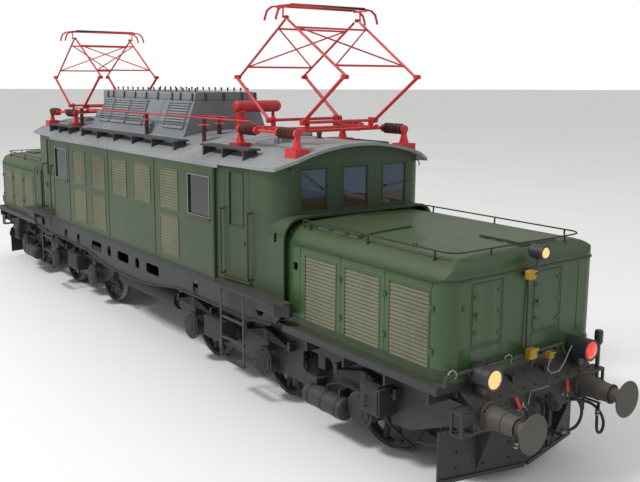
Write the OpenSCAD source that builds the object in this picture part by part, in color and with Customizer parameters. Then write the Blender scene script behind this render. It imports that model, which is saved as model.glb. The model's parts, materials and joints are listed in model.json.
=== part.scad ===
// Six-axle articulated electric locomotive with a nose at each end.
// Heights are above the rail head; everything is lifted by the flange depth.

/* [Length] */
// length over the buffer faces
buffer_face = 9300; // [9150:10:9500]
// axle nearest the middle, from the middle
axle_inner = 2250; // [2200:10:2300]
// distance between axles in a bogie
axle_pitch = 2300; // [2250:10:2350]
// end of the straight body side, from the middle
side_end = 3590; // [3550:5:3640]
// front face of the cab, from the middle
cab_face = 5144; // [5120:2:5160]
// front face of the nose, from the middle
nose_face = 8430; // [8380:5:8470]

/* [Width] */
// half width over the body sides
body_half = 1580; // [1560:5:1600]
// half width of the nose
nose_half = 1370; // [1340:5:1375]
// half distance between the buffers
buffer_y = 875; // [860:5:890]

/* [Height] */
// bottom edge of the body side
side_bottom = 1790; // [1780:5:1800]
// top edge of the body side
side_top = 3590; // [3560:5:3620]
// crown of the roof
roof_top = 3960; // [3930:5:3990]
// roof of the nose at its middle
nose_top = 2905; // [2860:5:2908]
// buffer centre
buffer_z = 1060; // [1045:5:1080]

/* [Wheels] */
// wheel tread radius
wheel_r = 625; // [610:5:635]
// flange depth below the rail head
flange = 30; // [26:1:32]

/* [Walls] */
// body wall thickness
wall = 40; // [34:1:46]
// nose and fairing wall thickness
skin = 30; // [24:1:32]
// clearance round doors and moving parts
gap = 6; // [5:0.5:8]

/* [Pantograph] */
// pantograph centre from the middle
panto_x = 4300; // [4270:5:4330]
// lower arm length
arm_low = 1166; // [1150:1:1180]
// upper arm length
arm_up = 1660; // [1650:1:1675]
// lower arm angle above level
arm_deg = 35; // [33:0.5:37]

/* [Hidden] */
$fn = 48;
bogie_x = axle_inner + axle_pitch;
axles = [axle_inner, bogie_x, bogie_x + axle_pitch];
roof_r = (1600*1600 + (roof_top-side_top)*(roof_top-side_top))/(2*(roof_top-side_top));
roof_t = 45;
door_half = body_half - 40;
tap_a = 5.2;
tap_k = tan(tap_a);
corner_y = 1100;
corner_r = ((door_half - tap_k*(cab_face-side_end) - corner_y)*cos(tap_a))/(1 - sin(tap_a));
corner_x = cab_face - corner_r;
door_a = 245;
door_b = 865;
door_lo = 1862;
door_hi = 3568;
knee_dx = arm_low*cos(arm_deg);
knee_dz = arm_low*sin(arm_deg);
shaft_x = 450;
shaft_z = 4250;
knee_x = shaft_x + knee_dx;
knee_z = shaft_z + knee_dz;
apex_z = knee_z + sqrt(arm_up*arm_up - knee_x*knee_x);
strip_z = apex_z + 190;
beam_x = 8660;
hood_end = 5330;
nose_back = 5236;
foot_z = 1450;
frame_y = 1450;

module lift() translate([0,0,flange]) children();
module turn() rotate([0,0,180]) children();
module ends() { children(); rotate([0,0,180]) children(); }
module sides() { children(); mirror([0,1,0]) children(); }
module quad() ends() sides() children();
module box(a,b) translate(a) cube(b-a);
module rod(a,b,r) { d=b-a; l=norm(d); translate(a) rotate([0,acos(d[2]/l),atan2(d[1],d[0])]) cylinder(h=l,r=r,$fn=24); }
module rody(x,z,y0,y1,r) translate([x,y0,z]) rotate([-90,0,0]) cylinder(h=y1-y0,r=r);
module rodx(y,z,x0,x1,r) translate([x0,y,z]) rotate([0,90,0]) cylinder(h=x1-x0,r=r);
// extrude an X-Z outline through Y
module slab(y0,y1) translate([0,y1,0]) rotate([90,0,0]) linear_extrude(y1-y0) children();
// extrude a Y-Z outline along X
module run(x0,x1) translate([x0,0,0]) rotate([90,0,90]) linear_extrude(x1-x0) children();
// points along an arc
function arc(x,y,r,a0,a1,n) = [for(i=[0:n]) [x+r*cos(a0+(a1-a0)*i/n), y+r*sin(a0+(a1-a0)*i/n)]];
// upright outline with rounded top corners
module arch(hw,z0,z1,r) polygon(concat([[-hw,z0],[hw,z0]],arc(hw-r,z1-r,r,0,90,20),arc(r-hw,z1-r,r,90,180,20)));
module pill(w,h) union() { square([w,h-w],center=true); for(s=[-1,1]) translate([0,s*(h-w)/2]) circle(d=w); }
module round_rect(w,h,r) union() { square([w-2*r,h],center=true); square([w,h-2*r],center=true); for(i=[-1,1],j=[-1,1]) translate([i*(w/2-r),j*(h/2-r)]) circle(r=r); }

// tapered cab outline in plan, inset by t
module cab_plan(t) {
  ys = door_half - t/cos(tap_a);
  polygon(concat([[side_end,-ys]],arc(corner_x,-corner_y,corner_r-t,tap_a-90,0,20),arc(corner_x,corner_y,corner_r-t,0,90-tap_a,20),[[side_end,ys]]));
}
module under_roof(x0,x1) run(x0,x1) translate([0,roof_top-roof_r]) circle(r=roof_r-roof_t,$fn=360);
// frame on the tapered wall: x along it, y outwards
module tap() translate([side_end,door_half,0]) rotate([0,0,-tap_a]) children();

nose_r = 360;   // along the roof edges
nose_front = 260; // over the front
nose_plan = 230;  // upright corners
nose_fall = 32;   // from the middle of the roof to where the edge rounding starts
module nose_solid() {
  h=nose_half; r=nose_r; t=nose_top; f=nose_front; p=nose_plan; e=h-r;
  intersection() {
    run(nose_back,nose_face+50) polygon(concat([[-h,foot_z],[h,foot_z]],arc(e,t-nose_fall-r,r,0,88,20),
      [for(y=[0.85,0.6,0.3,0,-0.3,-0.6,-0.85]) [y*e,t-nose_fall*y*y]],arc(-e,t-nose_fall-r,r,92,180,20)));
    slab(-1500,1500) polygon(concat([[4000,foot_z-10],[nose_face,foot_z-10]],arc(nose_face-f,t-f,f,0,90,20),[[4000,t]]));
    translate([0,0,foot_z-20]) linear_extrude(2000) polygon(concat([[4000,-h-1],[nose_face-p-1,-h-1]],
      arc(nose_face-p,p-h,p,-90,0,20),arc(nose_face-p,h-p,p,0,90,20),[[nose_face-p-1,h+1],[4000,h+1]]));
  }
}
module nose_hollow() intersection() {
  run(nose_back+skin,nose_face) { h=nose_half; t=nose_top; polygon([[-h+skin,foot_z+skin],[-h+40,t-340],[-h+130,t-170],[-h+320,t-90],[0,t-skin-2],[h-320,t-90],[h-130,t-170],[h-40,t-340],[h-skin,foot_z+skin]]); }
  slab(-1500,1500) polygon([[4000,foot_z],[nose_face-skin,foot_z],[nose_face-skin,nose_top-285],[nose_face-115,nose_top-115],[nose_face-285,nose_top-skin-1],[nose_face-286,nose_top+50],[4000,nose_top+50]]);
  translate([0,0,foot_z]) linear_extrude(2000) { f=nose_face; h=nose_half; polygon([[4000,-1500],[f-245,-1500],[f-245,-h+skin+1],[f-100,-h+100],[f-skin,-h+250],[f-skin,h-250],[f-100,h-100],[f-245,h-skin-1],[f-245,1500],[4000,1500]]); }
}

// ---------- body ----------
module bridge_frame() color([0.17,0.18,0.2]) lift() {
  difference() {
    union() {
      sides() slab(frame_y,frame_y+30) polygon([[-5550,side_bottom],[-5550,1610],[-5320,1570],[-5150,1390],[-4300,1310],[-2150,1310],[-1100,1160],[-500,1120],[500,1120],[1100,1160],[2150,1310],[4300,1310],[5150,1390],[5320,1570],[5550,1610],[5550,side_bottom]]);
      // bottom flange
      sides() slab(frame_y-60,frame_y+70) polygon([[-5100,1370],[-4300,1296],[-2150,1296],[-1100,1146],[-500,1106],[500,1106],[1100,1146],[2150,1296],[4300,1296],[5100,1370],[5100,1384],[4300,1310],[2150,1310],[1100,1160],[500,1120],[-500,1120],[-1100,1160],[-2150,1310],[-4300,1310],[-5100,1384]]);
      // deck
      box([-5120,-frame_y,1750],[5120,frame_y,side_bottom]);
      sides() box([-3590,frame_y,side_bottom-24],[3590,frame_y+100,side_bottom]);
      quad() { translate([0,0,side_bottom-24]) linear_extrude(24) polygon([[3588,frame_y],[3588,frame_y+130],[3800,frame_y+300],[5380,frame_y+300],[5550,frame_y+130],[5550,frame_y]]); translate([0,0,side_bottom-200]) linear_extrude(178) polygon([[4900,frame_y+200],[5380,frame_y+200],[5550,frame_y+60],[5550,frame_y+2],[4900,frame_y+2]]); }
      // cross members
      for(x=[-1400,-700,0,700,1400]) box([x-12,-frame_y,1180],[x+12,frame_y,1750]);
      box([-1400,-frame_y,1160],[1400,frame_y,1184]);
      ends() {
        translate([bogie_x,0,1090]) cylinder(h=670,r=150);
        translate([bogie_x,0,1480]) cylinder(h=270,r=420);
        box([bogie_x-300,-frame_y,1560],[bogie_x+300,frame_y,1760]);
      }
    }
    for(s=[-1,1]) {
      for(x=[-1480,-150,1150]) slab(-1600,1600) translate([x,1440]) round_rect(520,190,50);
      for(x=[-3250,-2500,-830,500,2780]) slab(-1600,1600) translate([x,1440]) pill(170,220);
    }
    ends() sides() slab(frame_y-1,frame_y+40) translate([4750,1520]) pill(200,210);
  }
}
louvre_x = [-2050,-1026,0,1020,2063];
louvre_w = 664;
module side_openings() {
  for(i=[0:4]) box([louvre_x[i]-louvre_w/2,1400,2715],[louvre_x[i]+louvre_w/2,1700,3371]);
  for(i=[0,1,4]) box([louvre_x[i]-louvre_w/2,1400,1910],[louvre_x[i]+louvre_w/2,1700,2570]);
}
module body_sides() color([0.19,0.25,0.17]) lift() sides() difference() {
  union() {
    box([-side_end,body_half-wall,side_bottom],[side_end,body_half,side_top]);
    // rain strip and foot strip
    box([-side_end,body_half,side_top-60],[side_end,body_half+8,side_top-40]);
    for(s=[-1,1]) box([s>0?side_end-wall:-side_end,body_half-90,side_bottom],[s>0?side_end:-side_end+wall,body_half,side_top]);
  }
  side_openings();
  for(s=[-1,1]) box([s>0?2775:-3462,1400,2726],[s>0?3462:-2775,1700,3363]);
}
module louvre(w,h,n) { // sawtooth panel, outside towards +Y, centred on X, base at z 0
  p=h/n;
  translate([-w/2,0,0]) rotate([90,0,90]) linear_extrude(w)
   polygon(concat([[-26,0]],[for(i=[0:n-1]) each [[4,i*p],[8,i*p+p*0.18],[-10,i*p+p*0.98]]],[[-10,h],[-26,h]]));
}
module body_louvres() color([0.44,0.44,0.33]) lift() for(s=[0,1]) mirror([0,s,0]) {
  for(i=[0:4]) translate([louvre_x[i],body_half-4,2716]) louvre(louvre_w-2,654,13);
  for(i=[0,1,4]) translate([louvre_x[i],body_half-4,1911]) louvre(louvre_w-2,658,13);
}
module cab_end() difference() {
  union() {
    intersection() {
      difference() {
        translate([0,0,side_bottom]) linear_extrude(2400) cab_plan(0);
        translate([0,0,side_bottom-10]) linear_extrude(2500) cab_plan(wall);
        box([side_end-10,-1400,side_bottom-10],[side_end+wall+10,1400,4200]);
      }
      under_roof(3000,5400);
    }
    // fairing that the nose swings inside
    difference() {
      run(4900,hood_end) arch(1450,side_bottom,2948,300);
      run(4890,hood_end+10) arch(1450-skin,side_bottom-10,2948-skin,300-skin);
      translate([0,0,side_bottom-20]) linear_extrude(2000) cab_plan(1);
    }
  }
  // doors, windows
  sides() tap() box([door_a,-wall-20,door_lo],[door_b,30,door_hi]);
  for(y=[-778,0,778]) box([cab_face-wall-10,y-240,2970],[cab_face+30,y+240,3600]);
  sides() box([5085,1400,2590],[5150,1500,2720]);
}
module cab_shell_front() color([0.19,0.25,0.17]) lift() cab_end();
module cab_shell_rear() color([0.19,0.25,0.17]) lift() turn() cab_end();
module roof() color([0.58,0.58,0.57]) lift() intersection() {
  run(-5400,5400) difference() {
    intersection() { translate([0,roof_top-roof_r]) circle(r=roof_r,$fn=360); translate([-1600,3000]) square([3200,1200]); }
    translate([0,roof_top-roof_r]) circle(r=roof_r-roof_t,$fn=360);
    translate([-1590,3000]) square([3180,side_top-3000]);
  }
  translate([0,0,3500]) linear_extrude(600) polygon([[-5310,1180],[-5150,1480],[-3620,1600],[3620,1600],[5150,1480],[5310,1180],[5310,-1180],[5150,-1480],[3620,-1600],[-3620,-1600],[-5150,-1480],[-5310,-1180]]);
}
module window_glass() color([0.35,0.42,0.5,0.5]) lift() {
  ends() for(y=[-778,0,778]) box([cab_face-24,y-239,2971],[cab_face-16,y+239,3599]);
  quad() box([2776,body_half-28,2727],[3461,body_half-20,3362]);
}
module bulkheads() color([0.55,0.56,0.5]) lift() ends() difference() {
  intersection() { box([side_end-90,-(body_half-wall-2),side_bottom],[side_end-60,body_half-wall-2,4000]); under_roof(3000,4000); }
  box([3400,-330,1900],[3600,330,3300]);
}
module cab_fittings() color([0.25,0.28,0.24]) lift() ends() {
  // desk across the front, two pedestals, seats
  difference() {
    box([cab_face-wall-460,-1000,2640],[cab_face-wall-1,1000,2740]);
    box([cab_face-wall-470,-330,2600],[cab_face-wall-140,330,2760]);
  }
  for(s=[-1,1]) translate([0,s*720,0]) { box([cab_face-wall-430,-230,side_bottom],[cab_face-wall-40,230,2640]); }
  translate([cab_face-wall-330,720,2740]) cylinder(h=120,r=55);
  translate([cab_face-wall-330,720,2860]) cylinder(h=30,r=160);
  for(s=[-1,1]) translate([4250,s*650,0]) { translate([0,0,side_bottom]) cylinder(h=30,r=180); translate([0,0,side_bottom+30]) cylinder(h=440,r=35); box([-190,-190,2250],[190,190,2330]); box([-230,-190,2330],[-180,190,2700]); }
}
module transformer() color([0.3,0.32,0.33]) lift() box([-1300,-900,side_bottom],[1300,900,3300]);
cowl_x0 = -2900;
cowl_x1 = 1380;
cowl_top = 4640;
pocket_x = shaft_x + arm_low + 50 - panto_x;
pocket_y = 614;
pocket_z = shaft_z - 46;
// half width of the cowl at a height
function cowl_y(z) = 660+(4500-z)*0.375;
module roof_cowl() color([0.3,0.35,0.4]) lift() difference() {
  union() {
    run(cowl_x0,cowl_x1) polygon([[-cowl_y(3700),3700],[-cowl_y(4500),4500],[-cowl_y(4500),cowl_top-30],[-cowl_y(4500)+30,cowl_top],[cowl_y(4500)-30,cowl_top],[cowl_y(4500),cowl_top-30],[cowl_y(4500),4500],[cowl_y(3700),3700]]);
    // lid edge standing proud
    box([cowl_x0-15,-cowl_y(4500)-15,4510],[cowl_x1+15,cowl_y(4500)+15,4530]);
  }
  run(cowl_x0-100,cowl_x1+100) translate([0,roof_top-roof_r]) circle(r=roof_r,$fn=360);
  // pockets for the folded knees of the rear collector
  sides() box([cowl_x0-50,pocket_y,pocket_z],[pocket_x,1200,cowl_top+10]);
}
board_z = 3850;
board_in = 1165;
board_out = 1400;
module board(x0,x1) sides() difference() {
  union() {
    box([x0,board_in,board_z-22],[x1,board_out,board_z]);
    n=max(2,round((x1-x0)/900)+1);
    for(i=[0:n-1]) { x=x0+120+(x1-x0-240)*i/(n-1); box([x-15,board_in,3680],[x+15,board_out+12,board_z-21]); }
  }
  roof_bite();
}
module roof_walkways() color([0.2,0.21,0.22]) lift() { board(-2390,2080); board(2870,4325); board(-4325,-2870); }
module roof_bite() run(-6000,6000) translate([0,roof_top-roof_r]) circle(r=roof_r,$fn=360);
function rz(y) = roof_top-roof_r+sqrt(roof_r*roof_r-y*y);
bar_z = 4230;
bar_y = -965;
leg_y = -500;
loop_x = 1930; // centre of the closed end of the loop
post_x = [-3350,-10,2240];
foot_x = 770;
foot_y = 1035;
barrel_z = 4112;
barrel_in = 318;
barrel_out = 740;
lug_x = barrel_in - 30; // where the bar ends on the base frame
lug_y = 880;
lug_z = 4150;
// post insulator standing on the roof, cap at height z
module post(x,y,z) translate([x,y,0]) difference() {
  translate([0,0,rz(y)-40]) { h=z-rz(y)+40;
    cylinder(h=h-24,r=38);
    for(i=[0:1]) translate([0,0,h-110-i*100]) cylinder(h=20,r1=112-i*8,r2=60);
    translate([0,0,h-26]) cylinder(h=26,r=45);
  }
  translate([-x,-y,0]) roof_bite();
}
module barrel() { // lies along X
  rodx(foot_y,barrel_z,barrel_in,barrel_out,46);
  for(i=[0:5]) rodx(foot_y,barrel_z,barrel_in+30+i*64,barrel_in+62+i*64,74);
}
module roof_insulators() color([0.45,0.2,0.13]) lift() {
  ends() translate([panto_x,0,0]) for(s=[0,1]) mirror([s,0,0]) sides() barrel();
  for(x=post_x) post(x,bar_y,bar_z-14);
  post(1960,leg_y,bar_z-14);
  ends() post(panto_x-70,0,4060);
}
module roof_conductors() color([0.8,0.2,0.22]) lift() {
  r=14; m=(bar_y+leg_y)/2; w=(leg_y-bar_y)/2;
  // bar from the rear collector, loop, leg to the front collector
  rodx(bar_y,bar_z,-3700,3700,r);
  for(s=[-1,1]) {
    rod([s*3690,bar_y,bar_z],[s*3850,-lug_y,lug_z],r-4);
    rodx(-lug_y,lug_z,min(s*3838,s*(panto_x-lug_x-22.5)),max(s*3838,s*(panto_x-lug_x-22.5)),r-1);
  }
  translate([loop_x,m,bar_z]) rotate([0,0,90]) rotate_extrude(angle=180) translate([w,0]) circle(r=r-0.5,$fn=24);
  rodx(leg_y,bar_z,loop_x-1,2300,r);
  rod([2292,leg_y,bar_z],[2080,-60,4330],r-1);
  // circuit breaker: upright leg and round-ended tank across
  difference() { translate([2000,-80,3900]) cylinder(h=500,r=92); roof_bite(); }
  translate([2000,-200,4400]) rotate([-90,0,0]) rotate_extrude($fn=64) polygon([[0,0],for(i=[0:8]) [60+45*sin(i*11.25),45-45*cos(i*11.25)],for(i=[0:12]) [105*cos(i*7.5),875+105*sin(i*7.5)]]);
  difference() { translate([2000,620,3860]) cylinder(h=480,r=30); roof_bite(); }
}
module panto_base() {
  for(s=[-1,1]) {
    box([-540,s*700-30,4110],[540,s*700+30,4160]);
    rody(s*(barrel_in-30),barrel_z,-foot_y,foot_y,26);
    rodx(s*foot_y,barrel_z,-barrel_in+2,barrel_in-2,21);
    for(j=[-1,1]) box([s*lug_x-22,j*lug_y-20,barrel_z+18],[s*lug_x+22,j*lug_y+20,lug_z+20]);
  }
  for(i=[-1,1],j=[-1,1]) {
    x=i*barrel_in; rodx(j*foot_y,barrel_z,min(x,x-i*50),max(x,x-i*50),60);
    y=j*foot_y; u=i*barrel_out;
    rodx(y,barrel_z,min(u,u+i*60),max(u,u+i*60),62);
    difference() {
      union() {
        translate([i*foot_x,y,0]) rotate([90,0,0]) translate([0,0,-36]) linear_extrude(72) polygon([[-90,3860],[-30,4010],[-26,barrel_z],[26,barrel_z],[30,4010],[90,3860]]);
        box([i*foot_x-135,y-125,3740],[i*foot_x+135,y+125,3895]);
      }
      roof_bite();
    }
  }
  sides() for(x=[-shaft_x,shaft_x]) {
    difference() { box([x-50,606,4130],[x+50,634,4300]); rody(x,shaft_z,600,640,26); }
    box([x-50,606,4120],[x+50,680,4150]);
  }
}
module pantograph_bases() color([0.8,0.2,0.22]) lift() ends() translate([panto_x,0,0]) panto_base();
module low_arm() { // outward side of a pantograph at +x
  rody(shaft_x,shaft_z,-740,740,24);
  for(s=[-1,1]) {
    rod([shaft_x,s*700,shaft_z],[knee_x-0.02*knee_dx,s*700,knee_z-0.02*knee_dz],26);
    rody(knee_x,knee_z,s*700-30,s*700+30,34);
    rody(knee_x,knee_z,min(s*630,s*700),max(s*630,s*700),14);
    rody(shaft_x,shaft_z,s*700-34,s*700+34,44);
  }
}
module up_arm(yo) { // apex eye at |y| = yo
  k=[knee_x,0,knee_z]; a=[0,0,apex_z];
  for(s=[-1,1]) {
    difference() { rody(knee_x,knee_z,s*645-14,s*645+14,32); rody(knee_x,knee_z,s*645-20,s*645+20,14.5); }
    difference() {
      rod([knee_x-(knee_x*0.012),s*645,knee_z+(apex_z-knee_z)*0.012],[knee_x*0.04,s*(yo),apex_z-(apex_z-knee_z)*0.04],19);
      rody(knee_x,knee_z,s*645-20,s*645+20,20);
    }
    difference() { rody(0,apex_z,s*yo-12,s*yo+12,28); rody(0,apex_z,s*yo-20,s*yo+20,12.5); }
  }
  m=0.18; q=0.82;
  rod([knee_x*(1-m),-645-(yo-645)*m,knee_z+(apex_z-knee_z)*m],[knee_x*(1-m),645+(yo-645)*m,knee_z+(apex_z-knee_z)*m],15);
  rod([knee_x*(1-q),-645-(yo-645)*q,knee_z+(apex_z-knee_z)*q],[knee_x*(1-q),645+(yo-645)*q,knee_z+(apex_z-knee_z)*q],15);
  rod([knee_x*(1-m),-645,knee_z+(apex_z-knee_z)*m],[knee_x*(1-q),645,knee_z+(apex_z-knee_z)*q],12);
  rod([knee_x*(1-m),645,knee_z+(apex_z-knee_z)*m],[knee_x*(1-q),-645,knee_z+(apex_z-knee_z)*q],12);
}
module head() {
  for(s=[-1,1]) {
    rody(0,apex_z,min(s*686,s*760),max(s*686,s*760),12);
    rod([0,s*745,apex_z-10],[0,s*745,strip_z-30],13);
    box([-158,s*745-10,strip_z-58],[158,s*745+10,strip_z-38]);
  }
  for(x=[-150,150]) {
    box([x-25,-700,strip_z-40],[x+25,700,strip_z]);
    translate([x,0,0]) rotate([90,0,90]) translate([0,0,-12]) linear_extrude(24) for(s=[-1,1]) polygon([[s*690,strip_z-32],[s*690,strip_z-6],[s*860,strip_z-28],[s*945,strip_z-90],[s*985,strip_z-200],[s*990,strip_z-245],[s*962,strip_z-245],[s*958,strip_z-205],[s*922,strip_z-108],[s*848,strip_z-54]]);
  }
}
module pf() color([0.8,0.2,0.22]) lift() translate([panto_x,0,0]) children();
module pr() color([0.8,0.2,0.22]) lift() turn() translate([panto_x,0,0]) children();
module panto_front_low_out() pf() low_arm();
module panto_front_low_in() pf() turn() low_arm();
module panto_front_up_out() pf() up_arm(700);
module panto_front_up_in() pf() turn() up_arm(668);
module panto_front_head() pf() head();
module panto_rear_low_out() pr() low_arm();
module panto_rear_low_in() pr() turn() low_arm();
module panto_rear_up_out() pr() up_arm(700);
module panto_rear_up_in() pr() turn() up_arm(668);
module panto_rear_head() pr() head();

module cab_steps() color([0.2,0.21,0.22]) lift() quad() {
  // ladder hung from the ledge
  for(x=[3830,4490]) box([x-20,frame_y+150,540],[x+20,frame_y+162,side_bottom-25]);
  for(z=[560,886,1216]) box([3830,frame_y+110,z],[4490,frame_y+155,z+25]);
  for(z=[560]) box([3830,frame_y+155,z],[4490,frame_y+190,z+25]);
  tap() for(x=[225,905]) { rod([x,70,1900],[x,70,2940],16); for(z=[1915,2925]) translate([x,1,z]) rotate([-90,0,0]) cylinder(h=70,r=14); }
}
module air_tanks() color([0.18,0.19,0.2]) lift() {
  for(s=[-1,1]) { rodx(s*900,820,-1250,1250,210); for(x=[-900,900]) box([x-20,s*900-30,1020],[x+20,s*900+30,1160]); }
}
module cab_door() { // on the left (+Y) side of the front end
  tap() difference() {
    box([door_a+gap,-wall,door_lo+gap],[door_b-gap,0,door_hi-gap]);
    box([372,-wall-10,2690],[703,10,3500]);
  }
  tap() for(z=[2100,2700,3380]) translate([door_a+gap,-wall,z-45]) cylinder(h=90,r=5);
  tap() box([373.5,-24,2691.5],[701.5,-16,3498.5]);
  tap() { rod([790,1,2450],[790,45,2450],12); rod([790,40,2450],[700,40,2450],11); }
}
module cab_door_front_left() color([0.19,0.25,0.17]) lift() cab_door();
module cab_door_front_right() color([0.19,0.25,0.17]) lift() mirror([0,1,0]) cab_door();
module cab_door_rear_right() color([0.19,0.25,0.17]) lift() turn() cab_door();
module cab_door_rear_left() color([0.19,0.25,0.17]) lift() turn() mirror([0,1,0]) cab_door();

// ---------- bogie at +X ----------
module bogie_plate() difference() {
  slab(1080,1115) polygon([[1470,780],[1470,1180],[1900,1250],[8100,1250],[8300,1190],[beam_x-40,1190],[beam_x-40,880],[8300,860],[7600,560],[6100,480],[3100,480],[1900,560]]);
  for(x=axles) box([x-150,1000,300],[x+150,1200,800]);
  for(x=[(axles[0]+axles[1])/2,(axles[1]+axles[2])/2]) slab(1000,1200) translate([x,850]) round_rect(700,360,120);
}
module axle_box(x) difference() {
  union() {
    rody(x,wheel_r,1080,1270,200);
    rody(x,wheel_r,1265,1300,240);
    box([x-149,1000,470],[x+149,1115,wheel_r+250]);
    // leaf spring
    slab(1130,1230) polygon([for(i=[0:6]) each [[x-620+i*80,960+i*22],[x-620+i*80,982+i*22]],for(i=[6:-1:0]) each [[x+620-i*80,982+i*22],[x+620-i*80,960+i*22]]]);
    box([x-70,1110,800],[x+70,1240,1135]);
    for(s=[-1,1]) box([x+s*590-28,1110,930],[x+s*590+28,1235,1070]);
  }
  rody(x,wheel_r,900,1250,94);
}
module bogie() {
  sides() { bogie_plate(); for(x=axles) axle_box(x); }
  // end and middle cross beams
  box([1470,-1090,800],[1540,1090,1150]);
  for(x=[3350,5680]) box([x,-1090,820],[x+160,1090,1180]);
  box([8050,-1090,900],[8210,1090,1230]);
  sides() box([3400,250,1090],[5800,330,1180]);
  difference() { translate([bogie_x,0,1090]) cylinder(h=90,r=335); translate([bogie_x,0,1000]) cylinder(h=300,r=156); }
  // buffer beam, sloping cover and footplate
  difference() { box([beam_x-40,-1130,880],[beam_x,1130,1190]); box([beam_x-60,-70,1000],[beam_x+10,70,1120]); }
  slab(-1130,1130) polygon([[8400,1350],[beam_x-1,1170],[beam_x-1,1195],[8400,1372]]);
  difference() {
    translate([0,0,1350]) linear_extrude(foot_z-1350) polygon([[5262,-1360],[5370,-1500],[nose_face-10,-1500],[nose_face-10,1500],[5370,1500],[5262,1360]]);
    box([5400,-1300,1340],[7900,1300,1460]);
  }
  sides() {
    for(x=[5900,6700,7500,8250]) box([x,1110,1200],[x+30,1480,1351]);
    box([5300,1080,1240],[8390,1115,1352]);
    // sand boxes and air reservoir outside the frame
    box([6990,1116,700],[7350,1400,1060]); box([7040,1300,1059],[7300,1380,1085]);
    rodx(1290,520,5760,6560,150); for(x=[5900,6420]) box([x-20,1114,640],[x+20,1300,760]);
    box([2880,1116,640],[3480,1380,980]);
    // shunter's step at the beam
    box([8480,1131,1160],[beam_x,1330,1190]);
    box([8480,1300,880],[8510,1330,1165]); box([8630,1300,880],[beam_x,1330,1165]); box([8480,1125,880],[beam_x,1330,900]);
  }
}
module motor(x) difference() {
  union() { rody(x+560,640,-500,500,385); rody(x,wheel_r,-420,420,150); box([x,-420,500],[x+300,420,780]); }
  rody(x,wheel_r,-600,600,97);
}
module wheelset(x) translate([x,0,wheel_r]) {
  rotate([90,0,0]) {
    cylinder(h=2440,r=90,center=true);
    for(s=[0,1]) mirror([0,0,s]) {
      rotate_extrude($fn=96) polygon([[560,680],[640,680],[wheel_r+flange,692],[wheel_r+flange,702],[wheel_r+8,714],[wheel_r,722],[wheel_r-4,815],[560,815]]);
      translate([0,0,668]) cylinder(h=170,r=170);
      for(i=[0:10]) rotate([0,0,i*360/11]) translate([100,-36,722]) cube([475,72,52]);
    }
  }
}
module nose_shell() difference() {
  nose_solid();
  nose_hollow();
  // louvre openings both sides
  sides() for(x=[6076,6941,7800]) box([x-334,1200,1579],[x+334,1500,2488]);
  sides() box([5460,1300,2250],[5560,1500,2360]);
  // front doors
  for(y=[-714,370]) box([nose_face-60,y-256,1834],[nose_face+20,y+256,2586]);
}
module nose_louvres() for(s=[0,1]) mirror([0,s,0]) for(x=[6076,6941,7800]) translate([x,nose_half-4,1580]) louvre(666,907,18);
module nose_door(y) { // hinged on its +Y edge
  box([nose_face-skin+2,y-250,1840],[nose_face,y+250,2580]);
  for(z=[1940,2460]) translate([nose_face+6,y+252,z-40]) cylinder(h=80,r=5.5);
  for(z=[1940,2460]) box([nose_face-0.5,y+180,z-20],[nose_face+6,y+252,z+20]);
  rod([nose_face-1,y-200,2210],[nose_face+30,y-200,2210],10);
  rod([nose_face+26,y-200,2250],[nose_face+26,y-200,2150],9);
}
module buffer() {
  rodx(0,0,beam_x,beam_x+30,175);
  translate([beam_x+30,0,0]) rotate([0,90,0]) cylinder(h=400,r1=140,r2=112);
  rodx(0,0,beam_x+430,buffer_face-50,86);
  translate([buffer_face-50,0,0]) rotate([0,90,0]) rotate_extrude($fn=96) polygon([[0,0],[90,0],[225,28],[230,34],[230,44],[222,50],[0,50]]);
}
module buffers() sides() translate([0,buffer_y,buffer_z]) buffer();
module lamp(r,l) { rodx(0,0,0,l,r); rodx(0,0,l-30,l,r+8); }
module headlamps() {
  sides() translate([8450,900,1520]) { lamp(130,290); box([60,-50,-215],[160,50,-120]); }
  translate([nose_face+50,0,2870]) lamp(85,180);
  box([nose_face,-60,2560],[nose_face+20,60,2638]);
  box([nose_face+19,-30,2600],[nose_face+150,30,2625]);
  translate([nose_face+120,0,2620]) cylinder(h=180,r=22);
}
module coupling() {
  slab(-30,30) difference() {
    polygon([[beam_x-200,1035],[beam_x+150,1035],[beam_x+190,1000],[beam_x+270,1000],[beam_x+320,1050],[beam_x+320,1120],[beam_x+260,1150],[beam_x+220,1130],[beam_x+250,1090],[beam_x+230,1070],[beam_x+150,1085],[beam_x-200,1085]]);
    translate([beam_x+110,1060]) circle(r=16);
  }
  // screw coupling hanging from the hook pin
  rody(beam_x+110,1060,-60,60,15);
  for(s=[-1,1]) { box([beam_x+85,s*52-10,760],[beam_x+135,s*52+10,1085]); box([beam_x+85,s*52-10,470],[beam_x+135,s*52+10,640]); }
  rod([beam_x+110,0,480],[beam_x+110,0,790],22);
  box([beam_x+80,-62,745],[beam_x+140,62,795]);
  box([beam_x+80,-62,590],[beam_x+140,62,640]);
  box([beam_x+80,-62,455],[beam_x+140,62,490]);
}
module plough() {
  translate([0,0,160]) linear_extrude(640) polygon([[8240,1250],[8520,0],[8240,-1250],[8215,-1250],[8492,0],[8215,1250]]);
  sides() { box([8230,700,700],[8360,724,780]); }
  sides() { slab(700,724) polygon([[8280,180],[8340,180],[8600,860],[8600,940],[8300,860]]); }
}
function ring(p,d,r,n) = let(w=d/norm(d), u0=abs(w[2])<0.9?cross([0,0,1],w):cross([1,0,0],w), u=u0/norm(u0), v=cross(w,u)) [for(i=[0:n-1]) p + r*(cos(360*i/n)*u + sin(360*i/n)*v)];
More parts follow.
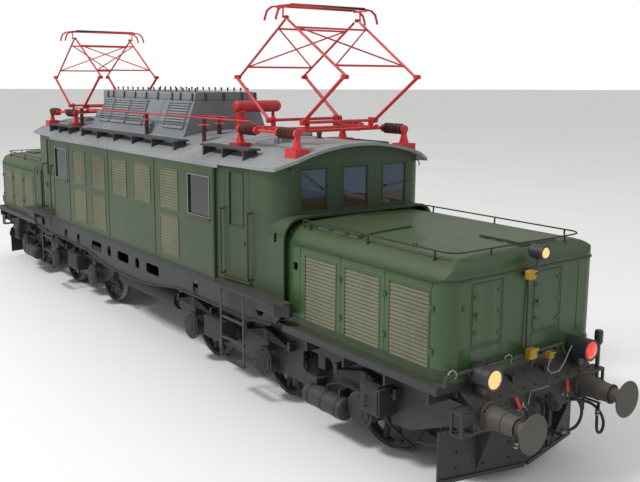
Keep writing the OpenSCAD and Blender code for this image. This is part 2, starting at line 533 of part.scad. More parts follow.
module tube(p,r,n=10) {
  m=len(p);
  pts=[for(i=[0:m-1]) each ring(p[i], p[min(i+1,m-1)]-p[max(i-1,0)], r, n)];
  polyhedron(points=pts, faces=concat([[for(i=[0:n-1]) i]],[[for(i=[n-1:-1:0]) (m-1)*n+i]],
    [for(j=[0:m-2],i=[0:n-1]) [j*n+i,(j+1)*n+i,(j+1)*n+(i+1)%n,j*n+(i+1)%n]]));
}
// hose routes, forward of the beam face, then Y and height
hose_r = 19;
hose_near = [[90,-360,1040],[108,-361,1038],[126,-368,1027],[144,-375,1014],[160,-385,998],[174,-398,979],[186,-414,958],[195,-433,937],[201,-455,916],[204,-480,896],[204,-506,876],[201,-531,855],[197,-554,831],[193,-573,805],[190,-588,777],[187,-599,748],[185,-606,718]];
hose_far = [[90,500,1040],[118,504,1036],[148,520,1012],[172,534,987],[190,550,956],[202,565,920],[208,577,881],[209,585,841],[207,588,801],[203,584,761],[199,572,723],[195,551,689],[192,522,662],[191,487,645],[190,448,637],[190,408,635],[190,368,636],[190,328,637],[190,288,638]];
hose_loop = [[38,680,915],[60,697,914],[83,729,908],[104,767,897],[124,800,884],[141,834,868],[156,868,848],[168,901,823],[177,933,795],[184,964,763],[188,993,729],[190,1020,694],[190,1045,657],[190,1066,619],[191,1081,579],[193,1086,538],[195,1077,498],[198,1053,465],[200,1018,448],[202,980,452],[204,949,476],[206,929,512],[208,919,552],[209,914,593],[210,911,635],[210,910,677],[210,910,719]];
module brake_hoses() {
  for(route=[hose_near,hose_far,hose_loop]) tube([for(q=route) [beam_x+q[0],q[1],q[2]]],hose_r);
}
// cocks, end fittings and the holders that the hoses meet
module hose_fittings() {
  for(route=[hose_near,hose_far,hose_loop]) {
    q=route[0]; w=route[1]-route[0]; d=w/norm(w); e=[beam_x+q[0],q[1],q[2]];
    rod(e-d*30,e,24);
    rodx(q[1]-d[1]*14,q[2]-d[2]*14,beam_x,beam_x+q[0]-20,26);
  }
  for(route=[hose_near,hose_far,hose_loop]) { n=len(route)-1; a=route[n]; w=route[n]-route[n-1]; d=w/norm(w); e=[beam_x+a[0],a[1],a[2]]; rod(e,e+d*60,26); }
  // holder for the far hose
  box([beam_x-30,212,600],[beam_x-16,272,879]);
  box([beam_x-30,212,600],[beam_x+215,272,611]);
  // hook for the loop
  box([beam_x-14,880,700],[beam_x,940,879]);
  box([beam_x-14,892,866],[beam_x+236,940,878]);
  box([beam_x+204,900,774],[beam_x+236,920,878]);
}
module bf() lift() children();
module br() lift() turn() children();
dark=[0.17,0.18,0.2]; green=[0.19,0.25,0.17]; loov=[0.44,0.44,0.33];
module bogie_frame_front() color(dark) bf() bogie();
module bogie_frame_rear() color(dark) br() bogie();
module nose_shell_front() color(green) bf() nose_shell();
module nose_shell_rear() color(green) br() nose_shell();
module nose_louvres_front() color(loov) bf() nose_louvres();
module nose_louvres_rear() color(loov) br() nose_louvres();
module buffers_front() color(dark) bf() buffers();
module buffers_rear() color(dark) br() buffers();
module headlamps_front() color(dark) bf() headlamps();
module headlamps_rear() color(dark) br() headlamps();
module coupling_front() color(dark) bf() { coupling(); hose_fittings(); }
module coupling_rear() color(dark) br() { coupling(); hose_fittings(); }
module motors_front() color(dark) bf() for(x=axles) motor(x);
module motors_rear() color(dark) br() for(x=axles) motor(x);
module plough_front() color(dark) bf() plough();
module plough_rear() color(dark) br() plough();
module brake_hoses_front() color(dark) bf() brake_hoses();
module brake_hoses_rear() color(dark) br() brake_hoses();
module nose_door_front_right() color(green) bf() nose_door(-714);
module nose_door_front_left() color(green) bf() nose_door(370);
module nose_door_rear_right() color(green) br() nose_door(-714);
module nose_door_rear_left() color(green) br() nose_door(370);
module wheelset_front_1() color(dark) bf() wheelset(axles[0]);
module wheelset_front_2() color(dark) bf() wheelset(axles[1]);
module wheelset_front_3() color(dark) bf() wheelset(axles[2]);
module wheelset_rear_1() color(dark) br() wheelset(axles[0]);
module wheelset_rear_2() color(dark) br() wheelset(axles[1]);
module wheelset_rear_3() color(dark) br() wheelset(axles[2]);

// ---------- output ----------
bridge_frame();
body_sides();
cab_shell_front();
cab_shell_rear();
roof();
window_glass();
body_louvres();
bulkheads();
cab_fittings();
transformer();
roof_cowl();
roof_walkways();
roof_insulators();
roof_conductors();
pantograph_bases();
cab_steps();
air_tanks();
cab_door_front_right();
cab_door_front_left();
cab_door_rear_right();
cab_door_rear_left();
panto_front_low_out();
panto_front_low_in();
panto_front_up_out();
panto_front_up_in();
panto_front_head();
panto_rear_low_out();
panto_rear_low_in();
panto_rear_up_out();
panto_rear_up_in();
panto_rear_head();
bogie_frame_front();
nose_shell_front();
nose_louvres_front();
buffers_front();
headlamps_front();
coupling_front();
motors_front();
plough_front();
brake_hoses_front();
nose_door_front_right();
nose_door_front_left();
wheelset_front_1();
wheelset_front_2();
wheelset_front_3();
bogie_frame_rear();
nose_shell_rear();
nose_louvres_rear();
buffers_rear();
headlamps_rear();
coupling_rear();
motors_rear();
plough_rear();
brake_hoses_rear();
nose_door_rear_right();
nose_door_rear_left();
wheelset_rear_1();
wheelset_rear_2();
wheelset_rear_3();
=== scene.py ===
import json
import math
import bpy
import bmesh
from mathutils import Matrix, Vector

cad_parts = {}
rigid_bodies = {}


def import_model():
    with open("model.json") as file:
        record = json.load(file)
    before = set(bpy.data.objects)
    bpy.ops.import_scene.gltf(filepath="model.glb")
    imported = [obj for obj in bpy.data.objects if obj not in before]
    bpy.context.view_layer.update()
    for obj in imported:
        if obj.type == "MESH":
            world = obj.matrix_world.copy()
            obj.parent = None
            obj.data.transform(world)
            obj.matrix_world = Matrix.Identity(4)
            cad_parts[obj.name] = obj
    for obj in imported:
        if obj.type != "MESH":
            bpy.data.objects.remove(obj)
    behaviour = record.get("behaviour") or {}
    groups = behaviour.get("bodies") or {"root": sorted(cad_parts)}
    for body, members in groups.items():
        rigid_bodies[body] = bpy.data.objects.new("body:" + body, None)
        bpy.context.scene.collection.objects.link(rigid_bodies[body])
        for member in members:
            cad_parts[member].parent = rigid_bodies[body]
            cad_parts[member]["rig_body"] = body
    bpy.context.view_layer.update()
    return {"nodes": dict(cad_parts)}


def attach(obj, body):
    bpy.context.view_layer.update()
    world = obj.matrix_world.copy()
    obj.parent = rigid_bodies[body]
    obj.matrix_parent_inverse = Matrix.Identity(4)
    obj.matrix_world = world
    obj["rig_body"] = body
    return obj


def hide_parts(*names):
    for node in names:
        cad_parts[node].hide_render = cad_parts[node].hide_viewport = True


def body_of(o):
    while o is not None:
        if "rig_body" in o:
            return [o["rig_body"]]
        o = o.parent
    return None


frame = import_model()
nodes = frame["nodes"]
print("frame loaded:", len(nodes), "nodes")

# camera
cameraSet = {"place": (14.737, -7.957, 4.917), "yaw": 144.437, "pitch": -9.247, "roll": 0.1,
             "lens": 46.659375, "shift": (0.03703125, -0.04203125), "sensor": 36.0}


def makeCamera(s):
    data = bpy.data.cameras.new("camera")
    cam = bpy.data.objects.new("camera", data)
    bpy.context.scene.collection.objects.link(cam)
    data.sensor_width = s["sensor"]
    data.lens = s["lens"]
    data.shift_x, data.shift_y = s["shift"]
    data.clip_end = 400.0
    yaw, pitch = math.radians(s["yaw"]), math.radians(s["pitch"])
    forward = Vector((math.cos(pitch) * math.cos(yaw), math.cos(pitch) * math.sin(yaw), math.sin(pitch)))
    turn = forward.to_track_quat("-Z", "Y").to_matrix().to_4x4()
    roll = Matrix.Rotation(math.radians(s["roll"]), 4, "Z")
    cam.matrix_world = Matrix.Translation(Vector(s["place"])) @ turn @ roll
    bpy.context.scene.camera = cam


makeCamera(cameraSet)


# tools for meshes
def newPiece(name, bm, mat, body, smooth=None):
    bmesh.ops.remove_doubles(bm, verts=bm.verts, dist=0.00005)
    bmesh.ops.recalc_face_normals(bm, faces=bm.faces)
    mesh = bpy.data.meshes.new(name)
    bm.to_mesh(mesh)
    bm.free()
    obj = bpy.data.objects.new(name, mesh)
    bpy.context.scene.collection.objects.link(obj)
    for m in (mat if isinstance(mat, (list, tuple)) else [mat]):
        mesh.materials.append(m)
    if smooth:
        mesh.shade_smooth()
        mesh.set_sharp_from_angle(angle=math.radians(smooth))
    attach(obj, body)
    return obj


def addBox(bm, a, b, bevel=0.0, matrix=None):
    # a and b are any two opposite corners
    low, high = Vector(map(min, a, b)), Vector(map(max, a, b))
    verts = bmesh.ops.create_cube(bm, size=1.0)["verts"]
    bmesh.ops.scale(bm, verts=verts, vec=high - low)
    bmesh.ops.translate(bm, verts=verts, vec=(low + high) / 2)
    if bevel > 0:
        faces = set(f for v in verts for f in v.link_faces)
        edges = list(set(e for f in faces for e in f.edges))
        out = bmesh.ops.bevel(bm, geom=edges, offset=bevel, segments=1, profile=0.5, affect="EDGES",
                              material=-1)
        faces = set(f for f in faces | set(out["faces"]) if f.is_valid)
        verts = list(set(v for f in faces for v in f.verts))
    if matrix is not None:
        bmesh.ops.transform(bm, matrix=matrix, verts=verts)


def along(a, b):
    a, b = Vector(a), Vector(b)
    turn = (b - a).to_track_quat("Z", "Y").to_matrix().to_4x4()
    return Matrix.Translation((a + b) / 2) @ turn, (b - a).length


def addRod(bm, a, b, r, r2=None, sides=12, index=0):
    matrix, length = along(a, b)
    made = bmesh.ops.create_cone(bm, cap_ends=True, cap_tris=False, segments=sides, radius1=r,
                                 radius2=r if r2 is None else r2, depth=length, matrix=matrix)
    for f in set(f for v in made["verts"] for f in v.link_faces):
        f.material_index = index


def addTurned(bm, profile, place, axis, sides=24):
    # profile: (distance along axis, radius) points, spun about the axis
    before = set(bm.verts)
    verts = [bm.verts.new((r, 0, z)) for z, r in profile]
    edges = [bm.edges.new(p) for p in zip(verts, verts[1:])]
    bmesh.ops.spin(bm, geom=verts + edges, cent=(0, 0, 0), axis=(0, 0, 1), angle=2 * math.pi,
                   steps=sides, use_merge=True, use_duplicate=False)
    turn = Vector(axis).normalized().to_track_quat("Z", "Y").to_matrix().to_4x4()
    bmesh.ops.transform(bm, matrix=Matrix.Translation(Vector(place)) @ turn,
                        verts=[v for v in bm.verts if v not in before])


def addRing(bm, place, axis, inner, outer, half, sides):
    # band round a tube, centred on place
    addTurned(bm, [(-half, inner), (-half, outer), (half, outer), (half, inner)], place, axis, sides)


def addDisc(bm, place, axis, r, thick, sides=16):
    addTurned(bm, [(0.0, 0.0), (0.0, r), (thick, r), (thick, 0.0)], place, axis, sides)


def addPath(bm, points, r, sides=8):
    for a, b in zip(points, points[1:]):
        addRod(bm, a, b, r, sides=sides)
    for p in points[1:-1]:
        bmesh.ops.create_uvsphere(bm, u_segments=sides, v_segments=6, radius=r * 1.01,
                                  matrix=Matrix.Translation(Vector(p)))


# tools for shaders
class Term:
    # a socket that can be used in arithmetic
    def __init__(self, kit, socket):
        self.kit = kit
        self.socket = socket

    def math(self, operation, a, b):
        node = self.kit.node("ShaderNodeMath", {"operation": operation}, {0: a, 1: b})
        return Term(self.kit, node.outputs[0])

    def __add__(self, other):
        return self.math("ADD", self, other)

    def __sub__(self, other):
        return self.math("SUBTRACT", self, other)

    def __rsub__(self, other):
        return self.math("SUBTRACT", other, self)

    def __mul__(self, other):
        return self.math("MULTIPLY", self, other)

    def least(self, other):
        return self.math("MINIMUM", self, other)

    def step(self, low, high, a=0.0, b=1.0):
        node = self.kit.node("ShaderNodeMapRange", {"clamp": True, "interpolation_type": "SMOOTHSTEP"},
                             {"Value": self, "From Min": low, "From Max": high, "To Min": a, "To Max": b})
        return Term(self.kit, node.outputs["Result"])


class Finish:
    # one material and the nodes in it
    def __init__(self, name):
        self.material = bpy.data.materials.new(name)
        self.material.use_nodes = True
        self.tree = self.material.node_tree
        self.shader = self.tree.nodes["Principled BSDF"]
        self.coords = self.node("ShaderNodeTexCoord", {}, {}).outputs["Object"]

    def link(self, value, socket):
        if isinstance(value, Term):
            value = value.socket
        if isinstance(value, bpy.types.NodeSocket):
            self.tree.links.new(value, socket)
        else:
            socket.default_value = value

    def node(self, kind, settings, values):
        node = self.tree.nodes.new(kind)
        for key, value in settings.items():
            setattr(node, key, value)
        for key, value in values.items():
            self.link(value, node.inputs[key])
        return node

    def noise(self, scale, detail=3.0, rough=0.55, stretch=(1, 1, 1), shift=(0, 0, 0)):
        place = self.node("ShaderNodeMapping", {},
                          {"Vector": self.coords, "Scale": stretch, "Location": shift})
        made = self.node("ShaderNodeTexNoise", {},
                         {"Vector": place.outputs[0], "Scale": scale, "Detail": detail, "Roughness": rough})
        return Term(self, made.outputs[0])

    def waves(self, scale, direction="X", kind="SIN", distort=0.0):
        made = self.node("ShaderNodeTexWave", {"wave_type": "BANDS", "bands_direction": direction,
                                               "wave_profile": kind},
                         {"Vector": self.coords, "Scale": scale, "Distortion": distort})
        return Term(self, made.outputs["Fac"])

    def axis(self, letter):
        made = self.node("ShaderNodeSeparateXYZ", {}, {0: self.coords})
        return Term(self, made.outputs[letter])

    def facing(self, letter):
        geo = self.node("ShaderNodeNewGeometry", {}, {})
        made = self.node("ShaderNodeSeparateXYZ", {}, {0: geo.outputs["Normal"]})
        return Term(self, made.outputs[letter])

    def blend(self, factor, a, b):
        made = self.node("ShaderNodeMix", {"data_type": "RGBA", "clamp_factor": True}, {"Factor": factor})
        for slot, colour in ((6, a), (7, b)):
            self.link(colour + (1,) if isinstance(colour, tuple) else colour, made.inputs[slot])
        return made.outputs[2]

    def bump(self, height, distance, strength=0.5):
        made = self.node("ShaderNodeBump", {}, {"Height": height, "Distance": distance, "Strength": strength})
        self.link(made.outputs[0], self.shader.inputs["Normal"])

    def set(self, **values):
        names = {"colour": "Base Color", "rough": "Roughness", "metal": "Metallic", "coat": "Coat Weight",
                 "coatRough": "Coat Roughness", "glow": "Emission Strength", "glowColour": "Emission Color",
                 "alpha": "Alpha", "spec": "Specular IOR Level"}
        for key, value in values.items():
            if isinstance(value, tuple) and len(value) == 3:
                value = value + (1,)
            self.link(value, self.shader.inputs[names[key]])
        return self.material


def rgb(r, g, b):
    # screen colour 0-255 to linear
    return tuple((c / 255 / 12.92) if c / 255 <= 0.04045 else ((c / 255 + 0.055) / 1.055) ** 2.4
                 for c in (r, g, b))


def weathered(name, colour, second, dust, dustUp=0.2, dustAll=0.2, streak=0.0, chips=0.0, chipColour=None,
              rough=0.5, low=None, lowColour=None, metal=0.0, coat=0.0):
    # two tones of paint under streaks, settled dust, a dirty lower edge and chips; colours are screen colours
    f = Finish(name)
    dustTone = rgb(*dust)
    broad = f.noise(0.55, 4, 0.6)
    fine = f.noise(14.0, 5, 0.65)
    speck = f.noise(60.0, 3, 0.6)
    runs = f.noise(1.0, 5, 0.6, stretch=(9.0, 9.0, 0.35), shift=(3, 1, 0))
    up = f.facing("Z").step(0.25, 0.95)
    base = f.blend(broad.step(0.3, 0.7), rgb(*colour), rgb(*second))
    base = f.blend((runs.step(0.5, 0.78) * streak * (1.0 - up)), base, dustTone)
    patch = broad * 0.5 + fine * 0.5
    mask = (patch.step(0.42, 0.66) * dustAll) + up * dustUp * (fine.step(0.25, 0.7, 0.55, 1.0))
    if low is not None:
        mask = mask + f.axis("Z").step(low[0], low[1], low[2], 0.0) * fine.step(0.2, 0.75, 0.5, 1.0)
    base = f.blend(mask.least(0.95), base, rgb(*lowColour) if lowColour else dustTone)
    if chips > 0:
        chip = (fine * 0.6 + speck * 0.4).step(0.63 - chips * 0.08, 0.655 - chips * 0.08)
        base = f.blend(chip * 0.85, base, rgb(*chipColour) if chipColour else rustTone)
    roughness = mask.least(1.0) * (dustRough - rough) + rough + (speck - 0.5) * 0.12
    f.bump(speck * 0.5 + fine, grainDepth, 0.35)
    return f.set(colour=base, rough=roughness, metal=metal, coat=coat)


rustTone, dustRough, grainDepth = (0.1, 0.045, 0.02), 0.85, 0.0006
green = weathered("bottleGreenPaint", (45, 66, 37), (37, 57, 33), (84, 84, 62), dustUp=0.3, dustAll=0.12,
                  streak=0.22, rough=0.42, low=(1.75, 2.15, 0.25))
greenDoor = weathered("doorGreenPaint", (43, 63, 36), (35, 54, 32), (82, 80, 60), dustUp=0.3, dustAll=0.12,
                      streak=0.25, rough=0.4, low=(1.8, 2.2, 0.3))
noseGreen = weathered("noseGreenPaint", (50, 78, 40), (42, 68, 35), (92, 112, 74), dustUp=0.34, dustAll=0.08,
                      streak=0.2, rough=0.4, low=(1.45, 1.75, 0.3), lowColour=(74, 68, 48), coat=0.12)
noseTrim = weathered("noseTrimPaint", (44, 54, 42), (36, 46, 36), (88, 90, 74), dustUp=0.3, streak=0.1)
louvreBeige = weathered("louvreBeige", (104, 104, 82), (88, 90, 70), (62, 62, 48), dustUp=0.1, dustAll=0.35,
                        streak=0.35, rough=0.65)
roofGrey = weathered("roofGreyPaint", (138, 140, 141), (122, 124, 126), (96, 98, 100), dustUp=0.0,
                     dustAll=0.3, rough=0.6, chips=0.12, chipColour=(88, 92, 96))
frameBlack = weathered("frameBlack", (42, 45, 49), (33, 36, 40), (84, 76, 66), dustUp=0.5, dustAll=0.14,
                       streak=0.18, chips=0.35, chipColour=(70, 54, 42))
gearBlack = weathered("gearBlack", (34, 36, 39), (27, 29, 32), (62, 58, 52), dustUp=0.45, streak=0.15,
                      chips=0.4, chipColour=(58, 46, 37), rough=0.6)
beamBlack = weathered("beamBlack", (40, 41, 43), (31, 32, 34), (98, 88, 76), dustUp=0.8, dustAll=0.14,
                      streak=0.2, chips=0.4, chipColour=(78, 60, 46), rough=0.55)
stepGrey = weathered("stepGrey", (62, 64, 68), (48, 51, 55), (92, 82, 72), dustUp=0.45, streak=0.2,
                     chips=0.3, rough=0.6)
redPaint = weathered("collectorRed", (205, 48, 54), (180, 38, 44), (116, 42, 38), dustUp=0.1, dustAll=0.3,
                     chips=0.2, chipColour=(96, 30, 28), rough=0.4)
skirtBrown = weathered("insulatorGlaze", (86, 38, 30), (64, 28, 24), (80, 62, 54), dustAll=0.15,
                       rough=0.42, coat=0.05)
cowlBlue = weathered("cowlGrey", (128, 132, 136), (112, 117, 122), (96, 98, 100), dustUp=0.1, dustAll=0.25,
                     streak=0.25, rough=0.55)
slatGrey = weathered("slatGrey", (138, 142, 145), (120, 125, 129), (92, 95, 98), dustUp=0.1, dustAll=0.3,
                     streak=0.1, rough=0.6)
boardGrey = weathered("walkwayBoards", (60, 62, 65), (46, 49, 53), (100, 98, 94), dustUp=0.25,
                      dustAll=0.3, rough=0.75)
lampGrey = weathered("lampGrey", (52, 54, 57), (41, 43, 47), (80, 75, 68), dustUp=0.3, dustAll=0.12,
                     streak=0.1, rough=0.38)
bufferBrown = weathered("bufferBarrel", (74, 70, 67), (57, 55, 53), (98, 90, 80), dustUp=0.35, dustAll=0.25,
                        streak=0.1, chips=0.3, rough=0.6)
ploughNavy = weathered("ploughNavy", (36, 41, 48), (29, 33, 39), (70, 68, 64), dustUp=0.4, dustAll=0.12,
                       streak=0.25, chips=0.3, chipColour=(80, 74, 66), low=(0.1, 0.5, 0.25))
wheelPaint = weathered("wheelPaint", (40, 40, 41), (31, 31, 33), (70, 62, 54), dustUp=0.3, dustAll=0.3,
                       chips=0.3, rough=0.65)
steelBright = weathered("bareSteel", (150, 150, 150), (122, 122, 124), (96, 84, 72), dustUp=0.05, rough=0.35,
                        metal=0.85)
yellowBox = weathered("yellowBox", (184, 150, 30), (160, 128, 26), (104, 86, 48), streak=0.2)
redHandle = weathered("redHandle", (205, 40, 38), (180, 32, 32), (90, 50, 40), dustUp=0.1, rough=0.45)
rubber = weathered("rubberBlack", (34, 34, 35), (26, 26, 27), (76, 72, 66), dustAll=0.15, rough=0.7)
cableWhite = weathered("paleCable", (150, 148, 142), (128, 126, 120), (96, 90, 82), dustUp=0.1, dustAll=0.3,
                       rough=0.55)
cabGreen = weathered("cabInterior", (96, 102, 84), (84, 90, 74), (76, 70, 58), dustAll=0.15,
                     streak=0.1, rough=0.55)
wiperBlack = weathered("wiperBlack", (48, 52, 55), (38, 41, 44), (80, 78, 72), dustAll=0.1, rough=0.4)
brownSill = weathered("brownSill", (96, 76, 58), (78, 62, 48), (110, 96, 78), dustUp=0.3, dustAll=0.25,
                      streak=0.1, chips=0.3, rough=0.65)


def glassFinish(name, tintAndSkyReflection, groundReflection):
    # pane with painted reflections: a band of sky above and a brown reflection of the ground below
    f = Finish(name)
    wisps = f.noise(1.3, 3, 0.5)
    dirt = f.noise(9.0, 5, 0.6)
    height = f.axis("Z") + (wisps - 0.5) * 0.05
    # painted reflection: ground colour below the given height, tint and sky above it, with a wavy line between
    band = height.step(groundReflection[0], groundReflection[0] + 0.012)
    colour = f.blend(band, groundReflection[1], tintAndSkyReflection)
    colour = f.blend(dirt.step(0.5, 0.8) * 0.25, colour, rgb(96, 92, 80))
    return f.set(colour=colour, rough=dirt.step(0.4, 0.8, 0.04, 0.22), alpha=0.9, coat=0.3,
                 coatRough=0.03, spec=0.4)


# painted reflection on the cab glass: bluish sky above 3.2 m, brown ground below
pane = glassFinish("cabGlass", rgb(62, 78, 98), (3.2, rgb(60, 44, 30)))
darkPane = glassFinish("sideGlass", rgb(16, 19, 23), (2.2, rgb(14, 14, 14)))


def lensFinish(name, core, rim, strength):
    f = Finish(name)
    ribs = f.waves(34.0, "Y", "SIN")
    cells = f.noise(26.0, 2, 0.5)
    glow = f.blend(cells.step(0.3, 0.7) * 0.5 + ribs * 0.3, core, rim)
    return f.set(colour=rim, rough=0.12, coat=0.8, glowColour=glow, glow=strength)


warmLens = lensFinish("warmLens", rgb(255, 226, 150), rgb(214, 160, 84), 0.75)
redLens = lensFinish("redLens", rgb(255, 60, 40), rgb(205, 14, 12), 0.9)
print("finishes ready:", len(bpy.data.materials))


def smoothRoute(points, parts=3):
    # a smoother line through the same points
    points = [Vector(p) for p in points]
    smooth = []
    for i in range(len(points) - 1):
        before, a, b, after = [points[min(max(i + k, 0), len(points) - 1)] for k in (-1, 0, 1, 2)]
        for k in range(parts):
            t = k / parts
            smooth.append(0.5 * (2 * a + (b - before) * t + (2 * before - 5 * a + 4 * b - after) * t * t
                                 + (3 * a - 3 * b + after - before) * t * t * t))
    return smooth + [points[-1]]


lift = 0.03  # flange depth: heights below are from the rail head


def endTurn(end):
    return Matrix.Translation((0, 0, lift)) @ Matrix.Rotation(0.0 if end == "front" else math.pi, 4, "Z")


# brake hoses: near, far and the hooked loop, from the beam at the front end
hoseSet = {"radius": 0.019, "routes": {
    "near": [(8.75, -0.36, 1.04), (8.768, -0.361, 1.038), (8.786, -0.368, 1.027), (8.804, -0.375, 1.014),
        (8.82, -0.385, 0.998), (8.834, -0.398, 0.979), (8.846, -0.414, 0.958), (8.855, -0.433, 0.937),
        (8.861, -0.455, 0.916), (8.864, -0.48, 0.896), (8.864, -0.506, 0.876), (8.861, -0.531, 0.855),
        (8.857, -0.554, 0.831), (8.853, -0.573, 0.805), (8.85, -0.588, 0.777), (8.847, -0.599, 0.748),
        (8.845, -0.606, 0.718)],
    "far": [(8.75, 0.5, 1.04), (8.778, 0.504, 1.036), (8.808, 0.52, 1.012), (8.832, 0.534, 0.987),
        (8.85, 0.55, 0.956), (8.862, 0.565, 0.92), (8.868, 0.577, 0.881), (8.869, 0.585, 0.841),
        (8.867, 0.588, 0.801),
        (8.863, 0.584, 0.761), (8.859, 0.572, 0.723), (8.855, 0.551, 0.689), (8.852, 0.522, 0.662),
        (8.851, 0.487, 0.645), (8.85, 0.448, 0.637), (8.85, 0.408, 0.635), (8.85, 0.368, 0.636),
        (8.85, 0.328, 0.637), (8.85, 0.288, 0.638)],
    "loop": [(8.698, 0.68, 0.915), (8.72, 0.697, 0.914), (8.743, 0.729, 0.908), (8.764, 0.767, 0.897),
        (8.784, 0.8, 0.884), (8.801, 0.834, 0.868), (8.816, 0.868, 0.848), (8.828, 0.901, 0.823),
        (8.837, 0.933, 0.795), (8.844, 0.964, 0.763), (8.848, 0.993, 0.729), (8.85, 1.02, 0.694),
        (8.85, 1.045, 0.657), (8.85, 1.066, 0.619), (8.851, 1.081, 0.579), (8.853, 1.086, 0.538),
        (8.855, 1.077, 0.498), (8.858, 1.053, 0.465), (8.86, 1.018, 0.448), (8.862, 0.98, 0.452),
        (8.864, 0.949, 0.476), (8.866, 0.929, 0.512), (8.868, 0.919, 0.552), (8.869, 0.914, 0.593),
        (8.87, 0.911, 0.635), (8.87, 0.91, 0.677), (8.87, 0.91, 0.719)]
}}


def makeHoses(s, end):
    turn = endTurn(end)
    for name, route in s["routes"].items():
        points = smoothRoute([turn @ Vector(p) for p in route])
        curve = bpy.data.curves.new("brakeHose_%s_%s" % (name, end), "CURVE")
        curve.dimensions = "3D"
        line = curve.splines.new("POLY")
        line.points.add(len(points) - 1)
        for spot, p in zip(line.points, points):
            spot.co = (p.x, p.y, p.z, 1.0)
        curve.bevel_depth = s["radius"]
        curve.bevel_resolution = 5
        curve.use_fill_caps = True
        hose = bpy.data.objects.new(curve.name, curve)
        bpy.context.scene.collection.objects.link(hose)
        curve.materials.append(rubber)
        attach(hose, "bogie_" + end)
        # turned coupling head on the free end
        tip, way = points[-1], (points[-1] - points[-2]).normalized()
        bm = bmesh.new()
        addTurned(bm, [(-0.012, 0.0), (-0.012, 0.025), (0.0, 0.0275), (0.012, 0.0275), (0.016, 0.0215),
                       (0.03, 0.0215), (0.034, 0.0275), (0.052, 0.0285), (0.06, 0.0225), (0.066, 0.014),
                       (0.066, 0.0)], tip, way, 16)
        head = newPiece("hoseHead_%s_%s" % (name, end), bm, steelBright, "bogie_" + end, smooth=35)
        # clamp rings where it leaves the cock
        bm = bmesh.new()
        start, out = points[0], (points[1] - points[0]).normalized()
        for k in (0.008, 0.024):
            addRing(bm, start + out * k, out, 0.0185, 0.0225, 0.004, 14)
        newPiece("hoseClamp_%s_%s" % (name, end), bm, steelBright, "bogie_" + end, smooth=35)
        total = sum((b - a).length for a, b in zip(points, points[1:]))
        if name == "near":
            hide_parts("brake_hoses_" + end)


for end in ("front", "rear"):
    makeHoses(hoseSet, end)
print("hoses made")


def onEnds(name, make, mat, body=None, smooth=None):
    # the same piece at both ends, made in the front end's measures
    for end in ("front", "rear"):
        bm = bmesh.new()
        make(bm)
        bmesh.ops.transform(bm, matrix=endTurn(end), verts=bm.verts)
        newPiece(name + "_" + end, bm, mat, "bogie_" + end if body is None else body, smooth)


def onBody(name, make, mat, smooth=None):
    bm = bmesh.new()
    make(bm)
    bmesh.ops.translate(bm, verts=bm.verts, vec=(0, 0, lift))
    newPiece(name, bm, mat, "loco_body", smooth)


def addStrip(bm, points, wide, tall):
    # flat strip along level points
    for a, b in zip(points, points[1:]):
        a, b = Vector(a), Vector(b)
        d = b - a
        turn = Matrix.Translation((a + b) / 2) @ Matrix.Rotation(math.atan2(d.y, d.x), 4, "Z")
        half = d.length / 2 + wide * 0.35
        addBox(bm, (-half, -wide / 2, -tall / 2), (half, wide / 2, tall / 2), matrix=turn)


def border(a0, a1, z0, z1, band):
    # corners of four flat strips round an opening
    return (((a0 - band, z0 - band), (a1 + band, z0)), ((a0 - band, z1), (a1 + band, z1 + band)),
            ((a0 - band, z0), (a0, z1)), ((a1, z0), (a1 + band, z1)))


def addFrame(bm, x0, x1, z0, z1, y, band, deep):
    # in an X-Z wall
    for low, high in border(x0, x1, z0, z1, band):
        addBox(bm, (low[0], y, low[1]), (high[0], y + deep, high[1]), bevel=abs(deep) * 0.3)


def addFrameX(bm, x, y0, y1, z0, z1, band, deep):
    # in a Y-Z wall
    for low, high in border(y0, y1, z0, z1, band):
        addBox(bm, (x, low[0], low[1]), (x + deep, high[0], high[1]), bevel=abs(deep) * 0.3)


def addBolts(bm, spots, axis, r=0.014, tall=0.012):
    # six-sided heads
    axis = Vector(axis).normalized()
    for p in spots:
        addRod(bm, Vector(p), Vector(p) + axis * tall, r, r * 0.9, sides=6)


def around(x, y, r, degrees):
    # points on a circle
    return [(x + r * math.cos(math.radians(a)), y + r * math.sin(math.radians(a))) for a in degrees]


def bend(x, y, r, a0, a1, n=6):
    return around(x, y, r, [a0 + (a1 - a0) * i / n for i in range(n + 1)])


# nose: roof rails, gutters, hatches, door fittings
noseSet = {"half": 1.37, "face": 8.43, "corner": 0.23, "roof": 2.905, "fall": 0.032, "edgeStart": 1.01,
           "start": 5.45,
           "rail": {"side": 1.19, "back": 5.44, "front": 8.32, "turn": 0.2, "height": 2.935, "radius": 0.0105,
                    "posts": (5.61, 6.84, 8.03), "frontPosts": (-0.56, 0.81)},
           "gutters": ((2.635, 0.016, 0.02), (1.56, 0.012, 0.05)),
           "seam": (1.16, 8.3, 2.846), "frontHatch": (7.62, 8.26, 0.02, 0.7),
           "rearHatch": (5.47, 6.62, -1.16, -0.24),
           "clasps": (6.508, 7.371, 8.19), "doors": (("right", -0.714), ("left", 0.37)), "hook": (7.5, -1.0)}


def crown(y):
    return noseSet["roof"] - noseSet["fall"] * (y / noseSet["edgeStart"]) ** 2


